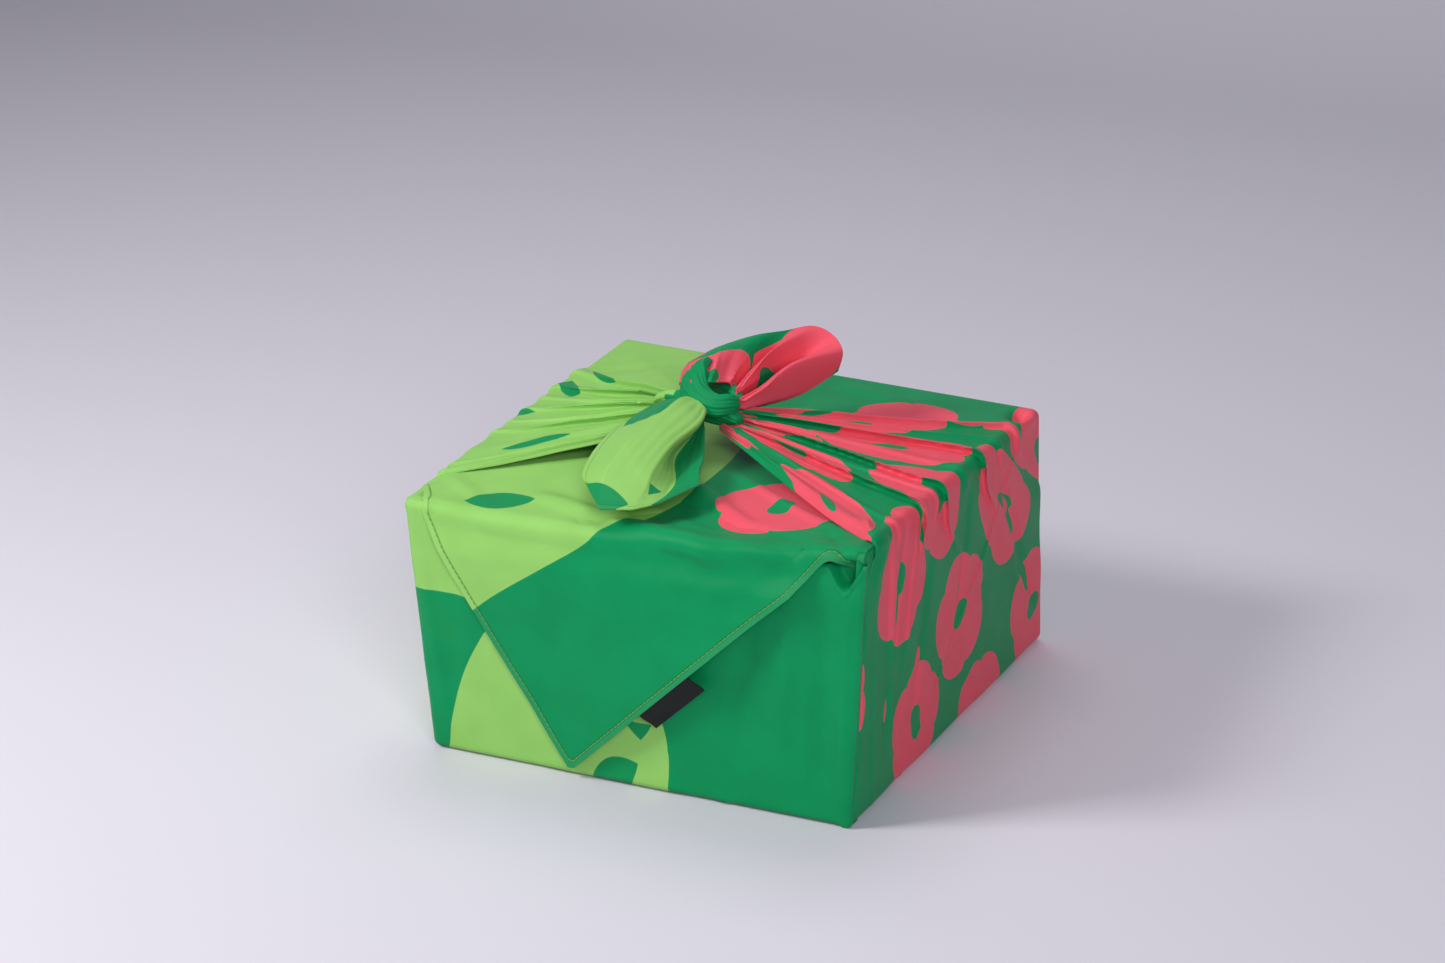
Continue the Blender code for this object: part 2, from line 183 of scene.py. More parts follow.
@dataclass(frozen=True)
class Unevenness:
    """The slight waviness of cloth that is stretched by hand: a few long waves with a fixed seed."""

    seed: int
    height: float
    shortest: float = 26.0
    longest: float = 95.0
    waves: int = 9

    def lift(self, a: Array, s: Array) -> Array:
        """Returns the waviness at places a across and s along a panel."""
        rng = np.random.default_rng(self.seed)
        total = np.zeros(np.broadcast(a, s).shape)
        for _ in range(self.waves):
            length = rng.uniform(self.shortest, self.longest)
            turn, phase = rng.uniform(0, math.pi), rng.uniform(0, 2 * math.pi)
            towards = a * math.cos(turn) + s * math.sin(turn)
            total += np.sin(2 * math.pi * towards / length + phase) * length / self.longest
        return self.height * total / math.sqrt(self.waves)


@dataclass(frozen=True)
class Corner:
    """A corner of the soft parcel: which one it is, and how far it lies from a true box's."""

    side: int
    depth: int
    level: int
    shift: tuple[float, float, float]


@dataclass(frozen=True)
class Parcel:
    """The soft box that the cloth is wrapped round."""

    width: float = 280.0
    depth: float = 301.0
    height: float = 161.0
    edge: float = 5.0
    proud: float = 1.2
    sag: float = 6.0
    corners: tuple[Corner, ...] = (
        Corner(-1, -1, 1, (-2.9, -3.5, -4.3)),
        Corner(1, -1, 1, (-0.4, 2.4, 6.0)),
        Corner(1, 1, 1, (0.9, -1.8, -5.8)),
        Corner(-1, 1, 1, (-4.5, -0.7, 4.1)),
        Corner(-1, -1, 0, (8.5, 3.4, 0.0)),
        Corner(1, -1, 0, (-5.9, -2.3, 0.0)),
        Corner(1, 1, 0, (4.3, 2.5, 0.0)),
    )

    @property
    def side(self) -> float:
        """Returns how far a side wall stands from the middle."""
        return self.width / 2

    @property
    def front(self) -> float:
        """Returns how far the front or the back stands from the middle."""
        return self.depth / 2

    def settle(self, points: Array) -> Array:
        """Moves points of the true box to their places on the soft parcel.

        Args:
            points: Points in millimetres, the last axis being x, y and z.

        Returns:
            The settled points.
        """
        share_x = np.clip(points[..., 0] / self.width + 0.5, -0.05, 1.05)
        share_y = np.clip(points[..., 1] / self.depth + 0.5, -0.05, 1.05)
        share_z = np.clip(points[..., 2] / self.height, 0.0, 1.1)
        shift = np.zeros_like(points)
        for corner in self.corners:
            weight = share_x if corner.side > 0 else 1 - share_x
            weight = weight * (share_y if corner.depth > 0 else 1 - share_y)
            weight = weight * (share_z if corner.level else 1 - share_z)
            shift += weight[..., None] * np.array(corner.shift)
        sag = np.sin(math.pi * np.clip(share_x, 0, 1)) * smooth(1 - 3 * share_y) * smooth(3 * share_z - 2)
        shift[..., 2] -= self.sag * sag
        return points + shift

    def rounded(self, points: Array, radius: float) -> Array:
        """Brings points on the sharp box's faces in to its rounded edges.

        Args:
            points: Points on the faces of the true box.
            radius: The radius of the edges.

        Returns:
            The points on the rounded box.
        """
        low = np.array([-self.side, -self.front, 0.0]) + radius
        high = np.array([self.side, self.front, self.height]) - radius
        inner = np.clip(points, low, high)
        away = points - inner
        reach = np.maximum(np.linalg.norm(away, axis=-1, keepdims=True), 1e-9)
        return inner + away / reach * radius

    def steps(self, low: float, high: float, step: float) -> Array:
        """Returns places from one edge to the other, closer together where the edges are round."""
        arc = self.edge * (1 - np.tan(np.radians([45, 30, 15])))
        inner = np.linspace(low + self.edge, high - self.edge, max(2, round((high - low) / step)))
        return np.concatenate([low + arc, inner, high - arc[::-1]])


PARCEL = Parcel()


class Board:
    """A shader's nodes, added by what they do."""

    def __init__(self, name: str) -> None:
        """Makes a material with an empty shader.

        Args:
            name: The material's name.
        """
        self.material = bpy.data.materials.new(name)
        self.material.use_nodes = True
        self.tree = self.material.node_tree
        self.shader = self.tree.nodes["Principled BSDF"]

    def set(self, **values: float | tuple) -> None:
        """Sets constants on the shader's own sockets, with underscores for spaces."""
        for name, value in values.items():
            self.shader.inputs[name.replace("_", " ")].default_value = value

    def feed(self, node: bpy.types.Node, values: tuple) -> None:
        """Gives a node's inputs constants or links, in order. None leaves one as it is."""
        for socket, value in zip(node.inputs, values):
            if isinstance(value, bpy.types.NodeSocket):
                self.tree.links.new(value, socket)
            elif value is not None:
                socket.default_value = value

    def add(self, kind: str, *values: object, **settings: object) -> bpy.types.Node:
        """Adds a node.

        Args:
            kind: The node's type, without its ShaderNode prefix.
            *values: Its inputs, in order.
            **settings: Its own settings.

        Returns:
            The node.
        """
        node = self.tree.nodes.new("ShaderNode" + kind)
        for name, value in settings.items():
            setattr(node, name, value)
        self.feed(node, values)
        return node

    def math(self, operation: str, *values: object) -> bpy.types.NodeSocket:
        """Returns a number worked out from others."""
        return self.add("Math", *values, operation=operation).outputs[0]

    def vector(self, operation: str, *values: object) -> bpy.types.NodeSocket:
        """Returns a vector worked out from others, or a length."""
        node = self.add("VectorMath", *values, operation=operation)
        return node.outputs[1 if operation in ("LENGTH", "DOT_PRODUCT") else 0]

    def between(self, low: float, high: float, value: object) -> bpy.types.NodeSocket:
        """Returns 0 to 1 as value goes from low to high, easing in and out."""
        node = self.add("MapRange", value, low, high, interpolation_type="SMOOTHSTEP")
        return node.outputs[0]

    def blend(self, share: object, first: object, second: object, way: str = "MIX") -> bpy.types.NodeSocket:
        """Returns one colour laid over another."""
        node = self.add("Mix", data_type="RGBA", blend_type=way)
        for socket, value in zip((node.inputs[0], node.inputs[6], node.inputs[7]), (share, first, second)):
            if isinstance(value, bpy.types.NodeSocket):
                self.tree.links.new(value, socket)
            else:
                socket.default_value = value
        return node.outputs[2]

    def join(self, socket: bpy.types.NodeSocket, name: str) -> None:
        """Links a socket to one of the shader's inputs."""
        self.tree.links.new(socket, self.shader.inputs[name])

    def scaled(self, place: bpy.types.NodeSocket, factor: float) -> bpy.types.NodeSocket:
        """Returns a place multiplied by a number."""
        node = self.add("VectorMath", place, operation="SCALE")
        node.inputs["Scale"].default_value = factor
        return node.outputs[0]

    def turned(self, place: bpy.types.NodeSocket, angle: float | bpy.types.NodeSocket) -> bpy.types.NodeSocket:
        """Returns a place turned about the vertical by an angle in radians."""
        return self.add("VectorRotate", place, None, None, angle, rotation_type="Z_AXIS").outputs[0]

    def noise(self, place: bpy.types.NodeSocket, scale: float, detail: float = 2.0) -> bpy.types.NodeSocket:
        """Returns soft noise from 0 to 1 at a place."""
        return self.add("TexNoise", place, None, scale, detail).outputs[0]

    def cloth_place(self) -> bpy.types.NodeSocket:
        """Returns the place on the flat cloth in millimetres."""
        return self.scaled(self.add("UVMap", uv_map=CLOTH_MAP).outputs[0], 1 / MM)

    def weave(self, place: bpy.types.Node, thread: float) -> bpy.types.NodeSocket:
        """Returns a plain weave of threads this far apart, from -1 to 1, at a separated place."""
        rows = [self.math("SINE", self.math("MULTIPLY", place.outputs[i], 2 * math.pi / thread)) for i in (0, 1)]
        return self.math("MULTIPLY", *rows)

    def raise_by(self, height: bpy.types.NodeSocket, strength: float) -> None:
        """Bumps the surface by a height in millimetres."""
        bump = self.add("Bump", strength, BUMP_DISTANCE)
        self.tree.links.new(height, bump.inputs["Height"])
        self.join(bump.outputs[0], "Normal")


def linear(code: str) -> tuple[float, float, float, float]:
    """Returns a screen colour, given as six hex digits, in the shader's own linear values."""
    parts = [int(code[i : i + 2], 16) / 255 for i in (0, 2, 4)]
    return (*(c / 12.92 if c <= 0.04045 else ((c + 0.055) / 1.055) ** 2.4 for c in parts), 1.0)


@dataclass(frozen=True)
class Motif:
    """How motifs are strewn over the cloth: the room of each, how unevenly they lie and how the rows are turned."""

    room: float
    looseness: float
    turn: float


@dataclass(frozen=True)
class PrintedSatin:
    """Fine polyester with a satin face and a print of blossoms and leaves over two greens."""

    lime: tuple = linear("90CB66")
    green: tuple = linear("088E54")
    leaf: tuple = linear("0F8F52")
    coral: tuple = linear("EE5668")
    border: tuple[tuple[float, float], ...] = (
        (-400, -60), (-300, -40), (-230, -4), (-190, 20), (-150, 22), (0, 0), (150, 14), (300, -20), (400, -12),
        (500, 12), (580, 4), (612, -18), (640, -52), (672, -96), (700, -128), (760, -170),
    )
    patch: tuple[tuple[float, float], ...] = (
        (-400, -400), (-262, -300), (-256, -128), (-248, -84), (-232, -96), (-200, -114), (-172, -124), (-150, -130),
        (-130, -160), (-100, -400), (0, -400), (760, -400),
    )
    patch_from: float = -160.0
    blossoms: Motif = Motif(room=88.0, looseness=0.3, turn=0.42)
    leaves: Motif = Motif(room=74.0, looseness=0.5, turn=-0.3)
    blossom_reach: float = 43.0
    blossom_eye: float = 8.5
    leaf_length: float = 20.0
    leaf_width: float = 11.5
    thread: float = 0.42
    hem_width: float = 4.2
    roughness: float = 0.4

    def strewn(self, board: Board, flat: bpy.types.NodeSocket, motif: Motif) -> tuple:
        """Lays out motifs.

        Args:
            board: The nodes to add to.
            flat: The place on the flat cloth, in millimetres.
            motif: The layout.

        Returns:
            The place about the nearest motif's middle in millimetres, the middle's own place, and a random colour.
        """
        scaled = board.scaled(board.turned(flat, motif.turn), 1 / motif.room)
        cells = board.add("TexVoronoi", voronoi_dimensions="2D", feature="F1")
        cells.inputs["Scale"].default_value = 1.0
        cells.inputs["Randomness"].default_value = motif.looseness
        board.tree.links.new(scaled, cells.inputs["Vector"])
        middle = cells.outputs["Position"]
        sized = board.scaled(board.vector("SUBTRACT", scaled, middle), motif.room)
        back = board.turned(board.scaled(middle, motif.room), -motif.turn)
        return sized, back, cells.outputs["Color"]

    def blossom(self, board: Board, local: object, random: object) -> bpy.types.NodeSocket:
        """Draws a five-petalled blossom with an open eye.

        Args:
            board: The nodes to add to.
            local: The place about the blossom's middle.
            random: A random number, which turns and sizes it.

        Returns:
            1 on the petals and 0 off them.
        """
        place = board.add("SeparateXYZ", local)
        angle = board.math("ARCTAN2", place.outputs[1], place.outputs[0])
        turned = board.math("MULTIPLY_ADD", random, FULL_TURN, angle)
        lobes = board.math("ABSOLUTE", board.math("COSINE", board.math("MULTIPLY", turned, 2.5)))
        petal = board.math("MULTIPLY_ADD", board.math("POWER", lobes, 0.6), 0.15, 0.85)
        size = board.math("MULTIPLY_ADD", random, 0.18, 0.82)
        reach = board.math("MULTIPLY", board.math("MULTIPLY", petal, size), self.blossom_reach)
        away = board.vector("LENGTH", local)
        inside = board.math("LESS_THAN", away, reach)
        bulge = board.math("SINE", board.math("MULTIPLY_ADD", angle, 2.0, board.math("MULTIPLY", random, 9.0)))
        eye = board.math("MULTIPLY_ADD", bulge, 2.2, self.blossom_eye)
        return board.math("MULTIPLY", inside, board.math("GREATER_THAN", away, eye))

    def leaf_shape(self, board: Board, local: object, random: object) -> bpy.types.NodeSocket:
        """Returns 1 inside a pointed leaf that a random number turns, and 0 outside it."""
        place = board.add("SeparateXYZ", board.turned(local, board.math("MULTIPLY", random, FULL_TURN)))
        along = board.math("DIVIDE", place.outputs[0], self.leaf_length)
        swell = board.math("SUBTRACT", 1.0, board.math("MULTIPLY", along, along))
        side = board.math("MULTIPLY_ADD", along, 2.5, place.outputs[1])
        return board.math("LESS_THAN", board.math("ABSOLUTE", side), board.math("MULTIPLY", swell, self.leaf_width))

    def blossom_ground(self, board: Board, middle: bpy.types.NodeSocket) -> bpy.types.NodeSocket:
        """Returns 1 where a blossom's middle lies on the part of the cloth that has blossoms."""
        place = board.add("SeparateXYZ", middle)
        p, q = place.outputs[0], place.outputs[1]
        least = board.math("MULTIPLY_ADD", board.math("LESS_THAN", q, -158.0), 60.0, 128.0)
        least = board.math("MULTIPLY_ADD", board.math("GREATER_THAN", q, 165.0), -66.0, least)
        least = board.math("MULTIPLY_ADD", board.math("GREATER_THAN", q, 566.0), 190.0, least)
        return board.math("GREATER_THAN", p, least)

    def wave(self, board: Board, q: bpy.types.NodeSocket, points: tuple) -> bpy.types.NodeSocket:
        """Reads a smooth curve, given as places back along the cloth and places across it, at the place q."""
        low, high = points[0][0], points[-1][0]
        node = board.add("FloatCurve")
        curve = node.mapping.curves[0]
        spots = [((at - low) / (high - low), (value + 400) / 800) for at, value in points]
        for spot, (x, y) in zip(curve.points, (spots[0], spots[-1])):
            spot.location = (x, y)
        for x, y in spots[1:-1]:
            curve.points.new(x, y)
        node.mapping.update()
        share = board.add("MapRange", q, float(low), float(high)).outputs[0]
        board.tree.links.new(share, node.inputs["Value"])
        return board.math("MULTIPLY_ADD", node.outputs[0], 800.0, -400.0)

    def build(self, name: str) -> bpy.types.Material:
        """Makes the material.

        Args:
            name: Its name.

        Returns:
            The material.
        """
        board = Board(name)
        flat = board.cloth_place()
        place = board.add("SeparateXYZ", flat)
        p, q = place.outputs[0], place.outputs[1]
        border = self.wave(board, q, self.border)
        on_lime = board.math("LESS_THAN", p, border)
        patched = board.math("LESS_THAN", p, self.wave(board, q, self.patch))
        patched = board.math("MULTIPLY", patched, board.math("GREATER_THAN", p, self.patch_from))
        on_lime = board.math("MULTIPLY", on_lime, board.math("SUBTRACT", 1.0, patched))

        local, middle, colours = self.strewn(board, flat, self.leaves)
        random = board.add("SeparateColor", colours)
        leaf = self.leaf_shape(board, local, random.outputs[1])
        centre = board.add("SeparateXYZ", middle)
        chosen = board.math("GREATER_THAN", random.outputs[0], 0.22)
        inland = board.math("LESS_THAN", centre.outputs[0], board.math("SUBTRACT", border, 18.0))
        leaf = board.math("MULTIPLY", leaf, board.math("MULTIPLY", chosen, inland))

        local, middle, colours = self.strewn(board, flat, self.blossoms)
        random = board.add("SeparateColor", colours)
        petals = self.blossom(board, local, random.outputs[0])
        petals = board.math("MULTIPLY", petals, self.blossom_ground(board, middle))

        colour = board.blend(on_lime, self.green, self.lime)
        colour = board.blend(leaf, colour, self.leaf)
        colour = board.blend(petals, colour, self.coral)
        shade = board.between(0.3, 0.7, board.noise(flat, 0.035, 3.0))
        colour = board.blend(board.math("MULTIPLY", shade, 0.12), colour, (1.0, 1.0, 1.0, 1.0), "SOFT_LIGHT")

        hem = board.add("Attribute", attribute_name=HEM_DISTANCE).outputs["Fac"]
        on_hem = board.math("LESS_THAN", hem, self.hem_width)
        # Painted shade: a thin dark line along the hem's fold, where the turned-under edge shades the cloth next to it.
        from_crease = board.math("ABSOLUTE", board.math("SUBTRACT", hem, self.hem_width))
        crease = board.math("SUBTRACT", 1.0, board.between(0.0, 0.7, from_crease))
        colour = board.blend(board.math("MULTIPLY", crease, 0.6), colour, (0.3, 0.42, 0.3, 1.0), "MULTIPLY")
        colour = board.blend(board.math("MULTIPLY", on_hem, 0.025), colour, (0.75, 0.95, 0.55, 1.0))
        weave = board.weave(place, self.thread)
        colour = board.blend(board.math("MULTIPLY_ADD", weave, 0.03, 0.04), colour, (0.0, 0.05, 0.02, 1.0))
        board.join(colour, "Base Color")

        slub = board.noise(board.vector("MULTIPLY", flat, (0.9, 0.05, 1.0)), 1.0)
        height = board.math("MULTIPLY_ADD", weave, 0.035, board.math("MULTIPLY", slub, 0.05))
        board.raise_by(board.math("MULTIPLY_ADD", on_hem, 0.4, height), 0.55)
        board.set(Roughness=self.roughness, Sheen_Weight=0.02, Sheen_Roughness=0.4, IOR=1.2)
        return board.material


@dataclass(frozen=True)
class WovenLabel:
    """A close-woven black label tape."""

    colour: tuple = linear("08080C")
    thread: float = 0.35
    roughness: float = 0.58

    def build(self) -> bpy.types.Material:
        """Returns the material."""
        board = Board("woven_label_tape")
        flat = board.cloth_place()
        weave = board.weave(board.add("SeparateXYZ", flat), self.thread)
        share = board.math("MULTIPLY_ADD", weave, 0.05, board.math("MULTIPLY", board.noise(flat, 0.25), 0.1))
        board.join(board.blend(share, self.colour, (0.09, 0.09, 0.11, 1.0)), "Base Color")
        board.raise_by(board.math("MULTIPLY", weave, 0.06), 0.5)
        board.set(Roughness=self.roughness, Sheen_Weight=0.02, Sheen_Roughness=0.4, IOR=1.35)
        return board.material


@dataclass(frozen=True)
class SewingThread:
    """The thread of the hem stitches, a little lighter than the cloth."""

    colour: tuple = linear("63A63C")
    roughness: float = 0.5

    def build(self) -> bpy.types.Material:
        """Returns the material."""
        board = Board("sewing_thread")
        share = board.math("MULTIPLY", board.noise(board.add("TexCoord").outputs["Object"], 2500.0), 0.5)
        board.join(board.blend(share, self.colour, linear("4E9440")), "Base Color")
        board.set(Roughness=self.roughness, Sheen_Weight=0.3)
        return board.material


def grid_faces(rows: int, columns: int) -> Array:
    """Returns the corners of each cell of a grid of points, rows by columns by four."""
    index = np.arange(rows * columns).reshape(rows, columns)
    return np.stack([index[:-1, :-1], index[:-1, 1:], index[1:, 1:], index[1:, :-1]], axis=-1)


def linked(name: str, data: bpy.types.ID) -> bpy.types.Object:
    """Makes an object of a mesh, a light or a camera, and links it to the scene."""
    made = bpy.data.objects.new(name, data)
    bpy.context.scene.collection.objects.link(made)
    return made


def thickened(made: bpy.types.Object, thickness: float, offset: float = -1.0) -> bpy.types.Object:
    """Gives a sheet its thickness in millimetres, inwards unless offset says otherwise."""
    wall = made.modifiers.new("thickness", "SOLIDIFY")
    wall.thickness = thickness * MM
    wall.offset = offset
    return made


def mark_hem(mesh: bpy.types.Mesh, distance: Array) -> None:
    """Writes each point's distance from the hem in millimetres."""
    near = mesh.attributes.new(HEM_DISTANCE, "FLOAT", "POINT")
    near.data.foreach_set("value", distance.astype(np.float32))


@dataclass
class Cloth:
    """A grid of cloth: its shape in millimetres and its place on the flat cloth."""

    points: Array
    print_at: Array
    hem: Array | None = None
    keep: Array | None = None
    thickness: float = 0.8
    offset: float = -1.0

    def piece(self, name: str, material: bpy.types.Material, weld: bool = False) -> bpy.types.Object:
        """Makes the closed mesh of the sheet, with its print map and its distance from the hem.

        Args:
            name: The piece's name.
            material: Its finish.
            weld: Whether borders that meet are joined.

        Returns:
            The piece, linked to the scene.
        """
        rows, columns = self.points.shape[:2]
        faces = grid_faces(rows, columns)
        kept = faces.reshape(-1, 4) if self.keep is None else faces[self.keep]
        mesh = bpy.data.meshes.new(name)
        mesh.from_pydata((self.points.reshape(-1, 3) * MM).tolist(), [], kept.tolist())
        layer = mesh.uv_layers.new(name=CLOTH_MAP)
        corners = np.empty(len(mesh.loops), np.int32)
        mesh.loops.foreach_get("vertex_index", corners)
        layer.data.foreach_set("uv", (self.print_at.reshape(-1, 2)[corners] * MM).astype(np.float32).ravel())
        mark_hem(mesh, np.full(rows * columns, FAR_FROM_HEM) if self.hem is None else self.hem.ravel())
        shape = bmesh.new()
        shape.from_mesh(mesh)
        loose = [vert for vert in shape.verts if not vert.link_faces]
        bmesh.ops.delete(shape, geom=loose, context="VERTS")
        if weld:
            bmesh.ops.remove_doubles(shape, verts=shape.verts[:], dist=WELD_DISTANCE * MM)
        shape.to_mesh(mesh)
        shape.free()
        return finished(thickened(linked(name, mesh), self.thickness, self.offset), material)


def finished(made: bpy.types.Object, material: bpy.types.Material) -> bpy.types.Object:
    """Applies an object's modifiers, and shades and dresses the mesh.

    Args:
        made: The object, with its modifiers.
        material: Its finish.

    Returns:
        The same object, with a plain mesh.
    """
    graph = bpy.context.evaluated_depsgraph_get()
    plain = bpy.data.meshes.new_from_object(made.evaluated_get(graph))
    made.modifiers.clear()
    made.data = plain
    plain.name = made.name
    plain.materials.clear()
    plain.materials.append(material)
    plain.shade_smooth()
    plain.set_sharp_from_angle(angle=math.radians(SHARP_FROM))
    return made


def declare(
    made: bpy.types.Object, flat: tuple[float, float],
    replaces: str | None = None,
) -> bpy.types.Object:
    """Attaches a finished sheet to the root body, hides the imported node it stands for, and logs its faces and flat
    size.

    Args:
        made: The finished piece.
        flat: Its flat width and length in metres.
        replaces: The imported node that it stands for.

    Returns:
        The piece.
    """
    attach(made, "root")
    if replaces:
        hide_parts(replaces)
    log.info("%s: %d faces, flat %.0f x %.0f mm", made.name, len(made.data.polygons), flat[0] / MM, flat[1] / MM)
    return made


@dataclass
class BackWrap:
    """The cloth under, behind and over the parcel, with its edges turned round every corner."""

    step: float = 3.4
    lip: float = 5.5
    pocket: tuple[float, float] = (132.5, 129.0)
    calm_from: float = 25.0
    thickness: float = 0.8
    waves: Unevenness = Unevenness(seed=4, height=0.5)
    folds: tuple[Fold, ...] = (
        Fold((-140, 300), (40, 170), 0.9, 3.6),
        Fold((60, 170), (140, 290), 0.8, 4.0),
        Fold((-60, 318), (-130, 380), -1.2, 9.0),
        Fold((20, 330), (110, 360), 1.2, 12.0),
        Fold((-120, 340), (-30, 420), 0.6, 3.0),
        Fold((0, 166), (-14, 300), 1.1, 9.0, 0.5),
        Fold((84, 170), (70, 300), -1.0, 10.0, 0.5),
        Fold((-90, 172), (-104, 296), 1.0, 7.0, 0.5),
    )

    def face(self, across: Array, down: Array, corner: tuple, right: tuple, on: tuple) -> Array:
        """Returns the points of one face of the box, from its corner, its direction across and its direction on."""
        grid = np.array(corner, float) + across[None, :, None] * np.array(right, float)
        return grid + down[:, None, None] * np.array(on, float)

    def tuck_in(self, points: Array) -> None:
        """Draws the cloth in beside the top's right edge near the back, and raises a lip there.

        Args:
            points: The points before they settle, which are changed in place.
        """
        x, y, z = (points[..., i].copy() for i in range(3))
        near = np.exp(-(((y - self.pocket[1]) / 10) ** 4)) * smooth((z - PARCEL.height + 13) / 8)
        points[..., 2] -= 8.0 * near * np.exp(-(((x - self.pocket[0]) / 3.8) ** 2))
        lip = near * np.exp(-(((x - self.pocket[0] - 6.5) / 2.4) ** 2))
        points[..., 2] += 1.2 * lip
        points[..., 0] += 1.4 * lip

    def build(self, material: bpy.types.Material) -> bpy.types.Object:
        """Makes the back wrap.

        Args:
            material: The printed cloth.

        Returns:
            The piece.
        """
        side, front, height = PARCEL.side, PARCEL.front, PARCEL.height
        wide = PARCEL.steps(0, PARCEL.width, self.step)
        deep = PARCEL.steps(0, PARCEL.depth, self.step)
        tall = PARCEL.steps(0, height, self.step)
        lip = deep[deep < self.lip]
        faces = (
            (wide, deep, (-side, front, height), (1, 0, 0), (0, -1, 0), (-side, front + height), (1, 0), (0, 1)),
            (wide, tall, (-side, front, 0), (1, 0, 0), (0, 0, 1), (-side, front), (1, 0), (0, 1)),
            (deep, tall, (side, front, height), (0, -1, 0), (0, 0, -1), (side, front + height), (0, 1), (1, 0)),
            (
                deep, tall, (-side, -front, height), (0, 1, 0), (0, 0, -1),
                (-side, height + 3 * front), (0, -1), (-1, 0),
            ),
            (wide, deep, (side, front, 0), (-1, 0, 0), (0, -1, 0), (side, front), (-1, 0), (0, -1)),
            (lip, tall, (side, -front, height), (-1, 0, 0), (0, 0, -1), (side, -front - height), (-1, 0), (0, 1)),
            (lip, tall, (-side, -front, 0), (1, 0, 0), (0, 0, 1), (-side, -front), (1, 0), (0, -1)),
        )
        shape = bmesh.new()
        layer = shape.loops.layers.uv.new(CLOTH_MAP)
        for columns, rows, corner, right, down_way, start, over, on in faces:
            grid = self.face(columns, rows, corner, right, down_way)
            across = np.linalg.norm(grid - grid[:, :1], axis=2)
            down = np.linalg.norm(grid - grid[:1], axis=2)
            place = np.array(start, float) + across[..., None] * np.array(over) + down[..., None] * np.array(on)
            lift = self.waves.lift(grid[..., 0] + grid[..., 2], grid[..., 1] - grid[..., 2])
            lift = lift + sum(fold.lift(place[..., 0], place[..., 1]) for fold in self.folds)
            near_edge = np.linalg.norm(grid - PARCEL.rounded(grid, self.calm_from), axis=2)
            calm = 1 - np.clip(near_edge / 6, 0, 1)
            normal = np.cross(grid[0, 1] - grid[0, 0], grid[1, 0] - grid[0, 0])
            normal = -normal / np.linalg.norm(normal)
            points = PARCEL.rounded(grid, PARCEL.edge) + (lift * calm)[..., None] * normal
            points[..., 2] = np.maximum(points[..., 2], 0.4)
            self.tuck_in(points)
            points = PARCEL.settle(points) * MM
            verts = [[shape.verts.new(point) for point in row] for row in points.tolist()]
            for i in range(len(verts) - 1):
                for j in range(len(verts[0]) - 1):
                    cell = ((i, j), (i + 1, j), (i + 1, j + 1), (i, j + 1))
                    made = shape.faces.new([verts[a][b] for a, b in cell])
                    for loop, (a, b) in zip(made.loops, cell):
                        loop[layer].uv = Vector(place[a, b] * MM)
        bmesh.ops.remove_doubles(shape, verts=shape.verts[:], dist=WELD_DISTANCE * MM)
        bmesh.ops.recalc_face_normals(shape, faces=shape.faces[:])
        mesh = bpy.data.meshes.new("back_wrap")
        shape.to_mesh(mesh)
        shape.free()
        mark_hem(mesh, np.full(len(mesh.vertices), FAR_FROM_HEM))
        made = finished(thickened(linked("back_wrap", mesh), self.thickness), material)
        return declare(made, (0.60, 0.77), replaces="wrapping_cloth")


